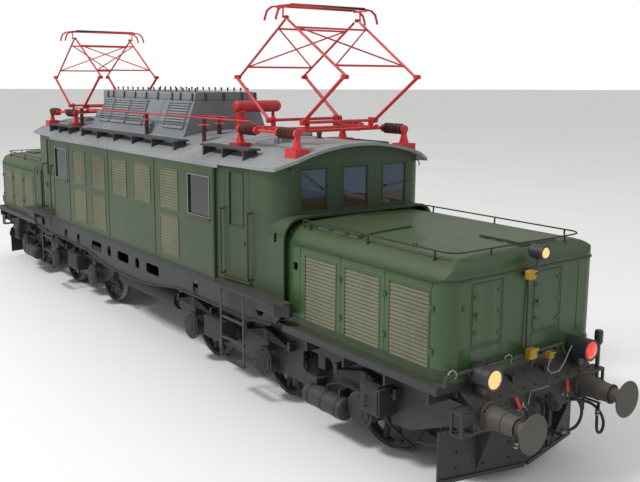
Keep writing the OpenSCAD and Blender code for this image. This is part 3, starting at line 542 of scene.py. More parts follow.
def makeNoseRails(bm):
    s = noseSet["rail"]
    side = [(s["back"] + 0.03, 2.83), (s["back"], s["height"] - 0.03), (s["back"] + 0.03, s["height"])]
    points = [(x, -s["side"], z) for x, z in side]
    corner = bend(s["front"] - s["turn"], -s["side"] + s["turn"], s["turn"], -90, 0)
    points += [(x, y, s["height"]) for x, y in corner]
    mirrored = [(x, -y, z) for x, y, z in reversed(points)]
    addPath(bm, points + mirrored, s["radius"], sides=8)
    for x in s["posts"]:
        for k in (-1, 1):
            addRod(bm, (x, k * s["side"], 2.8), (x, k * s["side"], s["height"]), s["radius"] * 1.1, sides=8)
            addRod(bm, (x, k * s["side"], 2.815), (x, k * s["side"], 2.835), 0.024, sides=10)
    for y in s["frontPosts"]:
        addRod(bm, (s["front"], y, 2.76), (s["front"], y, s["height"]), s["radius"] * 1.1, sides=8)


onEnds("noseRails", makeNoseRails, rubber, smooth=40)


def noseOutline(out=0.0):
    s = noseSet
    front = bend(s["face"] - s["corner"], -s["half"] + s["corner"], s["corner"] + out, -90, 0)
    half = [(s["start"], -s["half"] - out)] + front
    return half + [(x, -y) for x, y in reversed(half)]


def makeGutters(bm):
    for z, deep, tall in noseSet["gutters"]:
        addStrip(bm, [(x, y, z) for x, y in noseOutline(deep / 2)], deep, tall)


onEnds("noseGutters", makeGutters, noseTrim)


def makeSeam(bm):
    side, front, z = noseSet["seam"]
    line = [(noseSet["start"], -side)] + bend(front - 0.12, -side + 0.12, 0.12, -90, 0)
    line += [(x, -y) for x, y in reversed(line)]
    addStrip(bm, [(x, y, z - 0.004) for x, y in line], 0.012, 0.02)


onEnds("lidSeam", makeSeam, noseTrim)


def addRoofPlate(bm, x0, x1, y0, y1, rise, thick, index=0):
    made = bmesh.ops.create_grid(bm, x_segments=2, y_segments=10, size=0.5)
    verts = made["verts"]
    bmesh.ops.scale(bm, vec=(x1 - x0, y1 - y0, 1), verts=verts)
    bmesh.ops.translate(bm, vec=((x0 + x1) / 2, (y0 + y1) / 2, 0), verts=verts)
    faces = set(f for v in verts for f in v.link_faces)
    for v in verts:
        v.co.z = crown(v.co.y) + rise
    out = bmesh.ops.solidify(bm, geom=list(faces) + verts, thickness=thick)
    for f in list(faces) + [g for g in out["geom"] if isinstance(g, bmesh.types.BMFace)]:
        f.material_index = index


def makeHatches(bm):
    for x0, x1, y0, y1 in (noseSet["frontHatch"], noseSet["rearHatch"]):
        addRoofPlate(bm, x0, x1, y0, y1, 0.026, 0.012)
        # dark lip under the edge
        for a, b in (((x1 - 0.012, y0), (x1 + 0.014, y1)), ((x0 - 0.014, y0), (x0 + 0.012, y1))):
            addRoofPlate(bm, a[0], b[0], a[1], b[1], 0.02, 0.034, index=1)
        for y in (y0, y1):
            addRoofPlate(bm, x0, x1, y - 0.01, y + 0.01, 0.018, 0.03, index=1)
        for k in (0.2, 0.5, 0.8):
            x = x0 + (x1 - x0) * k
            addRod(bm, (x - 0.05, y0 - 0.012, crown(y0) + 0.012), (x + 0.05, y0 - 0.012, crown(y0) + 0.012),
                   0.012, sides=8, index=1)
    hx, hy = noseSet["hook"]
    addPath(bm, [(hx, hy - 0.03, crown(hy) - 0.01), (hx, hy - 0.03, crown(hy) + 0.035),
                 (hx, hy + 0.03, crown(hy) + 0.035), (hx, hy + 0.03, crown(hy) - 0.01)], 0.007)


onEnds("noseHatches", makeHatches, [noseGreen, rubber])


def makeClasps(bm):
    s = noseSet
    for k in (-1, 1):
        y = k * s["half"]
        for x in s["clasps"]:
            for z in (2.31, 1.8):
                addBox(bm, (x - 0.035, y, z - 0.03), (x + 0.035, y + k * 0.018, z + 0.03), bevel=0.004)
                addRod(bm, (x, y + k * 0.016, z + 0.035), (x, y + k * 0.016, z - 0.035), 0.01, sides=8)
        # vertical seams and lower sill on the pillars
        for x in (5.62, 6.508, 7.371, 8.17):
            addBox(bm, (x - 0.004, y, 1.6), (x + 0.004, y + k * 0.004, 2.6))
        for x in (6.076, 6.941, 7.8):
            addFrame(bm, x - 0.334, x + 0.334, 1.579, 2.488, y, 0.018, k * 0.007)
    # clasp on the front corner
    for z in (2.31, 1.8):
        addBox(bm, (s["face"] - 0.004, -1.13, z - 0.03), (s["face"] + 0.014, -1.09, z + 0.03), bevel=0.004)


onEnds("noseClasps", makeClasps, noseGreen)


def makeNoseDoorTrim(bm, y):
    x = noseSet["face"]
    y0, y1, z0, z1 = y - 0.25, y + 0.25, 1.84, 2.58
    addFrameX(bm, x - 0.001, y0 + 0.018, y1 - 0.018, z0 + 0.018, z1 - 0.018, 0.018, 0.006)
    for z in (1.94, 2.2, 2.46):
        addBox(bm, (x, y1 - 0.07, z - 0.018), (x + 0.008, y1 - 0.004, z + 0.018), bevel=0.003)
    for z in (2.0, 2.42):
        addBox(bm, (x, y0 + 0.02, z - 0.02), (x + 0.016, y0 + 0.06, z + 0.02), bevel=0.004)
        addRod(bm, (x + 0.014, y0 + 0.03, z), (x + 0.014, y0 + 0.09, z - 0.02), 0.006, sides=8)


for side, y in noseSet["doors"]:
    for end in ("front", "rear"):
        bm = bmesh.new()
        makeNoseDoorTrim(bm, y)
        bmesh.ops.transform(bm, matrix=endTurn(end), verts=bm.verts)
        newPiece("noseDoorTrim_%s_%s" % (end, side), bm, noseGreen, "nose_door_%s_%s" % (end, side))


def makeFrontSeams(bm):
    x = noseSet["face"]
    for y in (-0.984, -0.444, 0.1, 0.64, 0.98):
        addBox(bm, (x - 0.002, y - 0.005, 1.7), (x + 0.004, y + 0.005, 2.6))
    for y in (-0.714, 0.37):
        addBox(bm, (x - 0.001, y - 0.27, 1.795), (x + 0.012, y + 0.27, 1.812), bevel=0.003)
    # dark drip edge under the gutter
    addBox(bm, (x - 0.002, -1.13, 2.592), (x + 0.003, 1.13, 2.626))


onEnds("noseFrontSeams", makeFrontSeams, noseGreen)
print("nose trim made")


# lamps: glass, rims and hoop handles
# x, y, z, length, radius
lampSet = {"side": (8.45, 0.9, 1.52, 0.29, 0.13), "centre": (8.48, 0.0, 2.87, 0.18, 0.085)}
lamps = (("right", "side", -1, warmLens), ("left", "side", 1, redLens), ("centre", "centre", 1, warmLens))


def makeLens(bm, place, r):
    addTurned(bm, [(0.022, 0.0), (0.02, r * 0.45), (0.012, r * 0.82), (0.002, r), (-0.01, r), (-0.01, 0.0)],
              place, (1, 0, 0), 32)


def makeLampTrim(bm):
    for label, kind, sign, glow in lamps:
        x, y, z, long, r = lampSet[kind]
        y = y * sign
        face = x + long
        rim = r + 0.008
        addTurned(bm, [(-0.028, r), (-0.028, rim + 0.003), (0.004, rim + 0.003), (0.008, rim - 0.006),
                       (0.004, r - 0.024), (-0.006, r - 0.024)], (face, y, z), (1, 0, 0), 32)
        for k in (0.3, 0.62):
            addRing(bm, (x + long * k, y, z), (1, 0, 0), r - 0.002, r + 0.004, 0.008, 28)
        addTurned(bm, [(-0.05, 0.0), (-0.05, r * 0.45), (-0.02, r * 0.8), (0.004, r + 0.001)], (x, y, z),
                  (1, 0, 0), 24)
    for sign in (-1, 1):
        x, y, z, long, r = lampSet["side"]
        y = y * sign
        hoop = [(x + 0.13, y + 0.045 * math.cos(a), z + r + 0.02 + 0.04 * math.sin(a))
                for a in (math.pi, 2.35, 1.57, 0.79, 0.0)]
        foot = z + r - 0.01
        addPath(bm, [(x + 0.13, y - 0.045, foot)] + hoop + [(x + 0.13, y + 0.045, foot)], 0.006)
        # clamp post under the lamp
        addBox(bm, (x + 0.07, y - 0.06, z - r - 0.09), (x + 0.15, y + 0.06, z - r + 0.02), bevel=0.008)
        addBolts(bm, [(x + 0.11, y + k, z - r - 0.02) for k in (-0.045, 0.045)], (0, 0, 1))


onEnds("lampTrim", makeLampTrim, lampGrey, smooth=40)
for end in ("front", "rear"):
    for label, kind, sign, glow in lamps:
        x, y, z, long, r = lampSet[kind]
        bm = bmesh.new()
        makeLens(bm, (x + long + 0.002, y * sign, z), r - 0.02)
        bmesh.ops.transform(bm, matrix=endTurn(end), verts=bm.verts)
        newPiece("lampGlass_%s_%s" % (end, label), bm, glow, "bogie_" + end, smooth=50)
print("lamps made")


# beam and footplate: sockets, conduit, cocks, steps
beamSet = {"face": 8.66, "top": 1.19, "cocks": (-0.373, 0.47),
           "sockets": ((8.56, -0.07, 2.59, 0.06), (8.6, -0.04, 1.62, 0.07), (8.6, 0.31, 1.53, 0.045))}


def makeConduit(bm):
    addPath(bm, [(8.5, -1.46, 1.47), (8.5, -1.43, 1.585), (8.5, 0.62, 1.6), (8.5, 0.68, 1.47)], 0.024, sides=10)
    for y in (-1.1, -0.3, 0.2, 0.5):
        addBox(bm, (8.43, y - 0.02, 1.56), (8.535, y + 0.02, 1.575), bevel=0.002)
        addRing(bm, (8.5, y, 1.59), (0, 1, 0), 0.024, 0.031, 0.02, 14)
    addPath(bm, [(8.44, -0.02, 2.6), (8.455, -0.02, 2.3), (8.46, -0.03, 1.9), (8.47, -0.03, 1.62)], 0.012)


onEnds("lampConduit", makeConduit, lampGrey, smooth=40)


def makePaleLeads(bm):
    for y in (-1.36, -0.42):
        loop = [(8.52, y + 0.07 * a, 1.6 + 0.065 * b) for a, b in around(0, 0, 1, range(-40, 161, 40))]
        addPath(bm, [(8.5, y + 0.05, 1.56)] + loop, 0.008)
    addPath(bm, [(8.62, 0.29, 1.53), (8.64, 0.2, 1.49), (8.645, 0.17, 1.4), (8.645, 0.25, 1.33),
                 (8.645, 0.4, 1.335), (8.64, 0.5, 1.42), (8.62, 0.6, 1.52), (8.58, 0.72, 1.58)], 0.008)


onEnds("lampLeads", makePaleLeads, cableWhite, smooth=40)


def makeSockets(bm):
    for x, y, z, h in beamSet["sockets"]:
        addBox(bm, (x - 0.09, y - h, z - h), (x, y + h, z + h * 0.9), bevel=0.012)
        addBox(bm, (x - 0.01, y - h * 1.12, z + h * 0.5), (x + 0.014, y + h * 1.12, z + h * 0.92), bevel=0.006)
        addBolts(bm, [(x, y - h * 0.6, z), (x, y + h * 0.6, z)], (1, 0, 0), 0.008, 0.01)


onEnds("yellowSockets", makeSockets, yellowBox)


def makeSocketStands(bm):
    for x, y, z, h in beamSet["sockets"][1:]:
        addRod(bm, (x - 0.045, y, 1.44), (x - 0.045, y, z - h), 0.016, sides=10)
        addRod(bm, (x - 0.03, y, z - h - 0.05), (x - 0.03, y, z - h), 0.022, sides=10)
    # shelf arms that carry the lamps and the conduit
    for y in (-0.9, -0.3, 0.3, 0.9):
        addBox(bm, (8.41, y - 0.02, 1.3), (8.52, y + 0.02, 1.37), bevel=0.004)
    addRod(bm, (8.6, 1.25, 1.0), (8.6, 1.25, 1.52), 0.028, sides=14)
    addTurned(bm, [(0.0, 0.0), (0.0, 0.034), (0.03, 0.052), (0.16, 0.056), (0.19, 0.046), (0.2, 0.0)],
              (8.6, 1.25, 1.5), (0, 0, 1), 20)
    for z in (1.04, 1.16):
        addBox(bm, (8.5, 1.19, z - 0.012), (8.64, 1.29, z + 0.012), bevel=0.004)


onEnds("beamStands", makeSocketStands, lampGrey, smooth=40)


def makeCocks(bm):
    for y in beamSet["cocks"]:
        addTurned(bm, [(0.0, 0.0), (0.0, 0.044), (0.018, 0.044), (0.022, 0.03), (0.05, 0.03), (0.055, 0.037),
                       (0.075, 0.037), (0.08, 0.0)], (8.66, y + 0.013, 1.045), (1, 0, 0), 18)
        addTurned(bm, [(-0.035, 0.0), (-0.035, 0.02), (0.035, 0.02), (0.035, 0.0)],
                  (8.712, y + 0.013, 1.085), (0, 0, 1), 14)
    addPath(bm, [(8.67, -0.2, 1.05), (8.7, -0.2, 1.216), (8.7, 0.118, 1.212), (8.69, 0.16, 1.2)], 0.007)


onEnds("brakeCocks", makeCocks, steelBright, smooth=40)


def makeCockHandles(bm):
    for a, b in (((8.725, -0.5, 1.22), (8.725, -0.4, 1.05)), ((8.725, 0.455, 1.225), (8.725, 0.5, 1.06))):
        turn, long = along(a, b)
        addBox(bm, (-0.013, -0.021, -long / 2), (0.013, 0.021, long / 2), bevel=0.008, matrix=turn)
        addRod(bm, b, (b[0] - 0.03, b[1], b[2]), 0.02, sides=12)


onEnds("cockHandles", makeCockHandles, redHandle)


def makeBeamTrim(bm):
    x = beamSet["face"]
    addBolts(bm, [(x, y, z) for y in (-1.08, -0.98, -0.68, -0.58, 0.58, 0.66, 0.98, 1.08)
                  for z in (0.93, 1.14)], (1, 0, 0), 0.017, 0.014)
    spots = [(8.45 + 0.028 * i, -1.05 + 0.21 * k, 1.366 - 0.0192 * i * 1.09)
             for i in (0, 6) for k in range(11)]
    addBolts(bm, spots, (0.55, 0, 0.83), 0.014, 0.012)
    for y in (-0.875, 0.875):
        ring = [(x + 0.03, a, b) for a, b in around(y, 1.06, 0.155, range(45, 360, 90))]
        addBolts(bm, ring, (1, 0, 0), 0.018, 0.016)
    addBox(bm, (x - 0.002, -0.1, 0.985), (x + 0.012, 0.1, 1.135), bevel=0.004)
    addBolts(bm, [(x + 0.01, y, z) for y in (-0.08, 0.08) for z in (1.005, 1.115)], (1, 0, 0), 0.012, 0.012)


onEnds("beamTrim", makeBeamTrim, beamBlack)


def makeHookTrim(bm):
    # cheeks, threaded spindle and weighted handle of the screw coupling
    x = beamSet["face"] + 0.11
    for k in (-1, 1):
        for y, z, r, thick in ((0.066, 1.06, 0.034, 0.018), (0.064, 0.77, 0.03, 0.02),
                               (0.064, 0.615, 0.03, 0.02)):
            addDisc(bm, (x, k * y, z), (0, k, 0), r, thick)
    for i in range(16):
        for z in (0.505, 0.655):
            addTurned(bm, [(0.0, 0.0215), (0.0016, 0.0245), (0.0032, 0.0215)], (x, 0, z + i * 0.0052),
                      (0, 0, 1), 14)
    addPath(bm, [(x + 0.022, 0, 0.7), (x + 0.09, 0, 0.69), (x + 0.13, 0, 0.62)], 0.011, sides=10)
    addTurned(bm, [(0.0, 0.0), (0.0, 0.022), (0.01, 0.03), (0.05, 0.03), (0.06, 0.022), (0.06, 0.0)],
              (x + 0.128, 0, 0.565), (0, 0, 1), 16)


onEnds("screwLinkTrim", makeHookTrim, gearBlack, smooth=40)


def makeFarPlate(bm):
    # bolted bracket beside the hook
    addBox(bm, (8.66, 0.14, 0.66), (8.675, 0.27, 1.09), bevel=0.004)
    addBox(bm, (8.66, 0.13, 1.03), (8.72, 0.27, 1.05), bevel=0.004)
    addBolts(bm, [(8.675, y, z) for y in (0.16, 0.25) for z in (0.7, 0.86, 1.0)], (1, 0, 0), 0.012, 0.012)


onEnds("besideHookBracket", makeFarPlate, gearBlack)


# buffers: ribs, face ring and bolts
def makeBufferTrim(bm):
    for k in (-1, 1):
        y = 0.875 * k
        for x, r in ((8.72, 0.139), (8.91, 0.128), (9.08, 0.118)):
            addRing(bm, (x, y, 1.06), (1, 0, 0), r - 0.01, r + 0.006, 0.01, 32)
        addRing(bm, (9.108, y, 1.06), (1, 0, 0), 0.085, 0.096, 0.008, 28)
        for c, d in around(0, 0, 1, range(45, 360, 90)):
            addRod(bm, (8.692, y + 0.15 * c, 1.06 + 0.15 * d), (8.76, y + 0.13 * c, 1.06 + 0.13 * d), 0.014,
                   0.01, sides=6)


onEnds("bufferTrim", makeBufferTrim, bufferBrown, smooth=40)
print("beam gear made")


# plough: flanges, stays, bolts
def makePloughTrim(bm):
    for k in (-1, 1):
        a, b = Vector((8.495, 0.0, 0)), Vector((8.222, 1.245 * k, 0))
        d = (b - a).normalized()
        n = Vector((abs(d.y), -d.x * math.copysign(1, d.y), 0)).normalized()
        for z, tall in ((0.79, 0.03), (0.172, 0.05)):
            mid = (a + b) / 2 + n * 0.034
            turn = Matrix.Translation((mid.x, mid.y, z)) @ Matrix.Rotation(math.atan2(d.y, d.x), 4, "Z")
            half = (b - a).length / 2 - 0.02
            addBox(bm, (-half, -0.012, -tall / 2), (half, 0.012, tall / 2), bevel=0.004, matrix=turn)
        for f in (0.2, 0.5, 0.8):
            p = a + (b - a) * f + n * 0.026
            addBolts(bm, [(p.x, p.y, z) for z in (0.3, 0.5, 0.7)], n, 0.015, 0.014)


onEnds("ploughTrim", makePloughTrim, ploughNavy)


# cab front: window frames, wipers, sill, lamp hook
cabSet = {"face": 5.144, "windows": (-0.778, 0.0, 0.778), "half": 0.24, "low": 2.97, "high": 3.6}


def makeCabFrames(bm):
    s = cabSet
    for y in s["windows"]:
        addFrameX(bm, s["face"] - 0.03, y - s["half"] + 0.014, y + s["half"] - 0.014, s["low"] + 0.014,
                  s["high"] - 0.014, 0.014, 0.034)
        addFrameX(bm, s["face"] - 0.001, y - s["half"], y + s["half"], s["low"], s["high"], 0.022, 0.007)
    # dark sill where the nose hood meets the wall
    addBox(bm, (s["face"] - 0.002, -1.1, 2.925), (s["face"] + 0.03, 1.1, 2.945), bevel=0.004)


onEnds("cabWindowFrames", makeCabFrames, green, body="loco_body")


def makeWipers(bm):
    for y, z, tilt, reach in ((-0.62, 3.3, 125, 0.3), (0.6, 3.26, -95, 0.42)):
        x = cabSet["face"] + 0.012
        addRod(bm, (x - 0.02, y, z), (x + 0.018, y, z), 0.018, sides=12)
        d = Vector((0, math.sin(math.radians(tilt)), math.cos(math.radians(tilt))))
        tip = Vector((x + 0.014, y, z)) + d * reach * -0.95
        addRod(bm, (x + 0.014, y, z), tip, 0.006, 0.004, sides=8)
        addRod(bm, tip - d * 0.16, tip + d * 0.16, 0.007, sides=6)


onEnds("wipers", makeWipers, wiperBlack, body="loco_body")


def makeCabTrim(bm):
    s = cabSet
    for k in (-1, 1):
        addPath(bm, [(s["face"] - 0.02, 1.2 * k, 3.62), (s["face"] + 0.05, 1.22 * k, 3.63),
                     (s["face"] + 0.08, 1.23 * k, 3.6), (s["face"] + 0.08, 1.23 * k, 3.54)], 0.009)
        # upright seam at the body corner and the drip strip above the door
        slant = math.radians(5.2)
        turn = Matrix.Translation((3.59, 1.54 * k, 0)) @ Matrix.Rotation(-slant * k, 4, "Z")
        addBox(bm, (0.0, 0.0, 1.8), (0.02, 0.04 * k, 3.58), matrix=turn)
        addBox(bm, (0.2, 0.0, 3.575), (0.92, 0.018 * k, 3.588), bevel=0.003, matrix=turn)
        addBox(bm, (0.215, 0.0, 1.835), (0.9, 0.03 * k, 1.86), bevel=0.004, matrix=turn)
        for z in (1.915, 2.925):
            for x in (0.225, 0.905):
                addBox(bm, (x - 0.022, 0.0, z - 0.03), (x + 0.022, 0.008 * k, z + 0.03), bevel=0.003,
                       matrix=turn)
    # rim of the hood over the nose
    rim = [(1.45, 1.8)] + bend(1.15, 2.648, 0.3, 0, 90)
    rim += [(-y, z) for y, z in reversed(rim)]
    for (y0, z0), (y1, z1) in zip(rim, rim[1:]):
        addRod(bm, (5.33, y0, z0), (5.33, y1, z1), 0.007, sides=6)


onEnds("cabTrim", makeCabTrim, green, body="loco_body")
print("plough and cab trim made")


# middle body: panel rims, frames, seams
sideSet = {"half": 1.58, "louvres": (-2.05, -1.026, 0.0, 1.02, 2.063), "wide": 0.664, "low": (1.91, 2.57),
           "high": (2.715, 3.371),
           "window": (2.775, 3.462, 2.726, 3.363), "seamX": 3.575, "bottom": 1.79, "top": 3.56,
           "band": 0.02, "deep": 0.009}


def sideRims(bm):
    s = sideSet
    for side in (-1, 1):
        y = side * s["half"]
        for i, x in enumerate(s["louvres"]):
            rows = [s["high"]] + ([s["low"]] if i in (0, 1, 4) else [])
            for z0, z1 in rows:
                addFrame(bm, x - s["wide"] / 2, x + s["wide"] / 2, z0, z1, y, s["band"], side * s["deep"])
                for bx in (x - s["wide"] / 2 - 0.01, x + s["wide"] / 2 + 0.01):
                    addBolts(bm, [(bx, y + side * s["deep"], z0 + (z1 - z0) * k / 4) for k in range(5)],
                             (0, side, 0), 0.006, 0.004)


def sideFrames(bm):
    s = sideSet
    x0, x1, z0, z1 = s["window"]
    for side in (-1, 1):
        for end in (-1, 1):
            a, b = sorted((end * x0, end * x1))
            addFrame(bm, a, b, z0, z1, side * s["half"], 0.016, side * 0.012)


def sideSills(bm):
    s = sideSet
    x0, x1, z0 = s["window"][:3]
    for side in (-1, 1):
        for end in (-1, 1):
            a, b = sorted((end * x0, end * x1))
            y = side * s["half"]
            addBox(bm, (a - 0.03, y, z0 - 0.05), (b + 0.03, y + side * 0.03, z0 - 0.027), bevel=0.004)


def sideSeams(bm):
    s = sideSet
    for side in (-1, 1):
        y = side * s["half"]
        outer = y + side * 0.007
        for x in (-s["seamX"], s["seamX"]):
            addBox(bm, (x - 0.014, y, s["bottom"]), (x + 0.014, outer, s["top"]), bevel=0.002)
        for z in (s["bottom"] + 0.012, s["top"]):
            addBox(bm, (-s["seamX"], y, z - 0.011), (s["seamX"], outer, z + 0.011), bevel=0.002)
        for x in (-2.62, -0.51, 1.52):
            out = 0.005 if side > 0 else -0.007
            addBox(bm, (x - 0.004, y, s["bottom"]), (x + 0.004, y + out, s["top"]))


def frameRivets(bm):
    # rivets along the upper edge of the bridge frame
    for side in (-1, 1):
        addBolts(bm, [(-3.5 + 0.1 * k, side * 1.479, 1.735) for k in range(71)], (0, side, 0), 0.009, 0.007)
        for x in (-3.25, -2.5, -0.83, 0.5, 2.78):
            circle = around(0, 0, 1, range(0, 360, 45))
            ring = [(x + 0.115 * c, side * 1.479, 1.44 + 0.145 * d) for c, d in circle]
            addBolts(bm, ring, (0, side, 0), 0.008, 0.006)


onBody("louvreRims", sideRims, louvreBeige)
onBody("sideWindowFrames", sideFrames, slatGrey)
onBody("sideWindowSills", sideSills, brownSill)
onBody("sideSeams", sideSeams, green)
onBody("frameRivets", frameRivets, frameBlack)


# cowl on the roof: slatted panels, clips, lifting eyes
cowlSet = {"half": 0.66, "lean": 0.375, "shoulder": 4.5, "top": 4.64, "x": (-2.9, 1.38),
           "panels": ((-2.6, -2.09), (-2.03, -1.29), (-1.22, -0.48), (0.45, 1.26)),
           "slats": 9, "z": (4.0, 4.44), "clips": (-2.5, -2.21, -1.66, -1.12, -0.6, -0.08, 0.51, 0.85, 1.3)}


def cowlY(z):
    return cowlSet["half"] + (cowlSet["shoulder"] - z) * cowlSet["lean"]


def cowlSlats(bm):
    c = cowlSet
    z0, z1 = c["z"]
    step = (z1 - z0) / c["slats"]
    for side in (-1, 1):
        for x0, x1 in c["panels"]:
            for k in range(c["slats"]):
                z = z0 + (k + 0.5) * step
                place = Matrix.Translation(((x0 + x1) / 2, side * (cowlY(z) + 0.012), z))
                turn = place @ Matrix.Rotation(side * math.radians(50), 4, "X")
                half = (x1 - x0) / 2 - 0.02
                addBox(bm, (-half, -0.004, -0.021), (half, 0.004, 0.021), matrix=turn)


def cowlFrames(bm):
    c = cowlSet
    z0, z1 = c["z"]
    lean = math.atan(c["lean"])
    mid = (z0 + z1) / 2
    tall = (z1 - z0) / math.cos(lean) / 2 + 0.02
    for side in (-1, 1):
        for x0, x1 in c["panels"]:
            place = Matrix.Translation(((x0 + x1) / 2, side * cowlY(mid), mid))
            turn = place @ Matrix.Rotation(side * lean, 4, "X")
            half = (x1 - x0) / 2
            for low, high in (((-half, -tall), (-half + 0.025, tall)), ((half - 0.025, -tall), (half, tall)),
                              ((-half, -tall), (half, -tall + 0.025)), ((-half, tall - 0.025), (half, tall))):
                addBox(bm, (low[0], -0.028, low[1]), (high[0], 0.028, high[1]), bevel=0.004, matrix=turn)


def cowlClips(bm):
    c = cowlSet
    for side in (-1, 1):
        for x in c["clips"]:
            addBox(bm, (x - 0.02, side * 0.655, 4.5), (x + 0.02, side * 0.685, 4.632), bevel=0.004)
            addRod(bm, (x - 0.03, side * 0.69, 4.52), (x + 0.03, side * 0.69, 4.52), 0.012, sides=8)
    for y in (-0.44, -0.06, 0.335, 0.63):
        addBox(bm, (1.375, y - 0.02, 4.5), (1.405, y + 0.02, 4.632), bevel=0.004)


def cowlEyes(bm):
    for side in (-1, 1):
        for k in range(16):
            x = -2.45 + k * 0.245
            y = side * 0.56
            addRod(bm, (x, y, 4.635), (x, y, 4.68), 0.01, sides=8)
            addTurned(bm, [(-0.008, 0.012), (-0.008, 0.026), (0.008, 0.026), (0.008, 0.012),
                           (-0.008, 0.012)], (x, y, 4.7), (0, 1, 0), 10)


def cowlSeams(bm):
    for x in (-2.06, -1.255, -0.45, 0.17, 1.3):
        for side in (-1, 1):
            addRod(bm, (x, side * (cowlY(3.93) + 0.002), 3.93), (x, side * (cowlY(4.49) + 0.002), 4.49),
                   0.008, sides=6)
        addBox(bm, (x - 0.02, -0.6, 4.632), (x + 0.02, 0.6, 4.646))


onBody("cowlSlats", cowlSlats, slatGrey)
onBody("cowlPanelFrames", cowlFrames, cowlBlue)
onBody("cowlClips", cowlClips, lampGrey)
onBody("cowlEyes", cowlEyes, lampGrey)
onBody("cowlSeams", cowlSeams, cowlBlue)


# roof skin: seams, edge strip, boxes and pipes
roofSet = {"radius": 3.6445, "middle": 0.3155, "reach": 1.5,
           "seams": (-5.0, -3.59, -2.95, 1.5, 2.3, 3.2, 3.59, 5.0, 2.75, -2.4)}


def roofZ(y):
    return roofSet["middle"] + math.sqrt(roofSet["radius"] ** 2 - y * y)


def roofSeams(bm):
    r = roofSet
    for x in r["seams"]:
        reach = r["reach"] if abs(x) < 4 else 1.2
        spots = [reach * (2 * k / 12 - 1) for k in range(13)]
        for a, b in zip(spots, spots[1:]):
            addRod(bm, (x, a, roofZ(a)), (x, b, roofZ(b)), 0.009, sides=6)


def roofRivets(bm):
    for side in (-1, 1):
        for k in range(72):
            y = side * 1.53
            addBolts(bm, [(-3.55 + 0.1 * k, y, roofZ(y))], (0, side * 0.42, 0.9), 0.008, 0.006)


def boardSlots(bm):
    # slats across the walkway boards
    for x0, x1 in ((-2.39, 2.08), (2.87, 4.325), (-4.325, -2.87)):
        for side in (-1, 1):
            for k in range(5):
                y = side * (1.185 + k * 0.048)
                addBox(bm, (x0 + 0.015, y - 0.014, 3.85), (x1 - 0.015, y + 0.014, 3.858), bevel=0.002)


def roofBoxes(bm):
    for end in (1, -1):
        addBox(bm, (end * 3.9, -0.66, 3.86), (end * 4.12, -0.46, 3.99), bevel=0.012)
        addRod(bm, (end * 3.54, 0.1, 3.97), (end * 3.54, 0.34, 3.97), 0.055, sides=20)


def roofPipes(bm):
    for end in (1, -1):
        addPath(bm, [(end * 1.55, 0.3, 4.05), (end * 2.2, 0.3, 4.03), (end * 2.6, 0.36, 4.0),
                     (end * 3.3, 0.36, 3.99)], 0.02)
        for x in (1.7, 2.3, 3.2):
            addRod(bm, (end * x, 0.33, 3.9), (end * x, 0.33, 4.02), 0.012, sides=8)


onBody("roofSeams", roofSeams, roofGrey)
onBody("roofRivets", roofRivets, roofGrey)
onBody("walkwaySlats", boardSlots, boardGrey)
onBody("roofBoxes", roofBoxes, slatGrey, 35)
onBody("roofPipes", roofPipes, redPaint, 35)


# insulator skirts on the barrels under the collectors
barrelSet = {"middle": 4.3, "x": (0.36, 0.7), "y": 1.035, "z": 4.112, "skirts": 6, "core": 0.06,
             "skirt": 0.086}


def barrelSkirts(bm):
    b = barrelSet
    for end in (-1, 1):
        for side in (-1, 1):
            for way in (-1, 1):
                for k in range(b["skirts"]):
                    reach = b["x"][0] + (b["x"][1] - b["x"][0]) * k / (b["skirts"] - 1)
                    place = (end * b["middle"] + way * reach, side * b["y"], b["z"])
                    addTurned(bm, [(-0.016, b["core"]), (-0.006, b["skirt"]), (0.006, b["skirt"]),
                                   (0.016, b["core"]), (-0.016, b["core"])], place, (1, 0, 0), 20)


onBody("barrelSkirts", barrelSkirts, skirtBrown, 40)


# underframe and bogies: springs, covers, bolts, rods
gearSet = {"axles": (2.25, 4.55, 6.85), "wheel": 0.625, "cover": 1.3}


def springLeaves(bm):
    g = gearSet
    for x in g["axles"]:
        for side in (-1, 1):
            for k in range(7):
                half = 0.62 - 0.08 * k
                z = 0.958 + 0.022 * k
                addBox(bm, (x - half - 0.004, side * 1.135, z + 0.002),
                       (x + half + 0.004, side * 1.238, z + 0.019), bevel=0.002)
            addBox(bm, (x - 0.06, side * 1.125, 0.94), (x + 0.06, side * 1.25, 1.13), bevel=0.006)


def boxCovers(bm):
    g = gearSet
    for x in g["axles"]:
        for side in (-1, 1):
            addTurned(bm, [(0.0, 0.0), (0.0, 0.2), (0.012, 0.2), (0.02, 0.15), (0.02, 0.11), (0.035, 0.1),
                           (0.035, 0.0)], (x, side * g["cover"], g["wheel"]), (0, side, 0), 28)
            ring = [(a, side * 1.31, b) for a, b in around(x, g["wheel"], 0.178, range(0, 360, 45))]
            addBolts(bm, ring, (0, side, 0), 0.015, 0.014)


def bogieBolts(bm):
    for side in (-1, 1):
        addBolts(bm, [(1.6 + 0.15 * k, side * 1.115, 1.215 if 1.75 < 1.6 + 0.15 * k < 8.1 else 1.16)
                      for k in range(45)], (0, side, 0), 0.012, 0.01)
        addBolts(bm, [(3.2 + 0.2 * k, side * 1.115, 0.51) for k in range(15)], (0, side, 0), 0.012, 0.01)
        for x in gearSet["axles"]:
            for dx in (-0.2, 0.2):
                spots = [(x + dx, side * 1.115, z) for z in (0.6, 0.7, 0.8, 0.9)]
                addBolts(bm, spots, (0, side, 0), 0.014, 0.012)


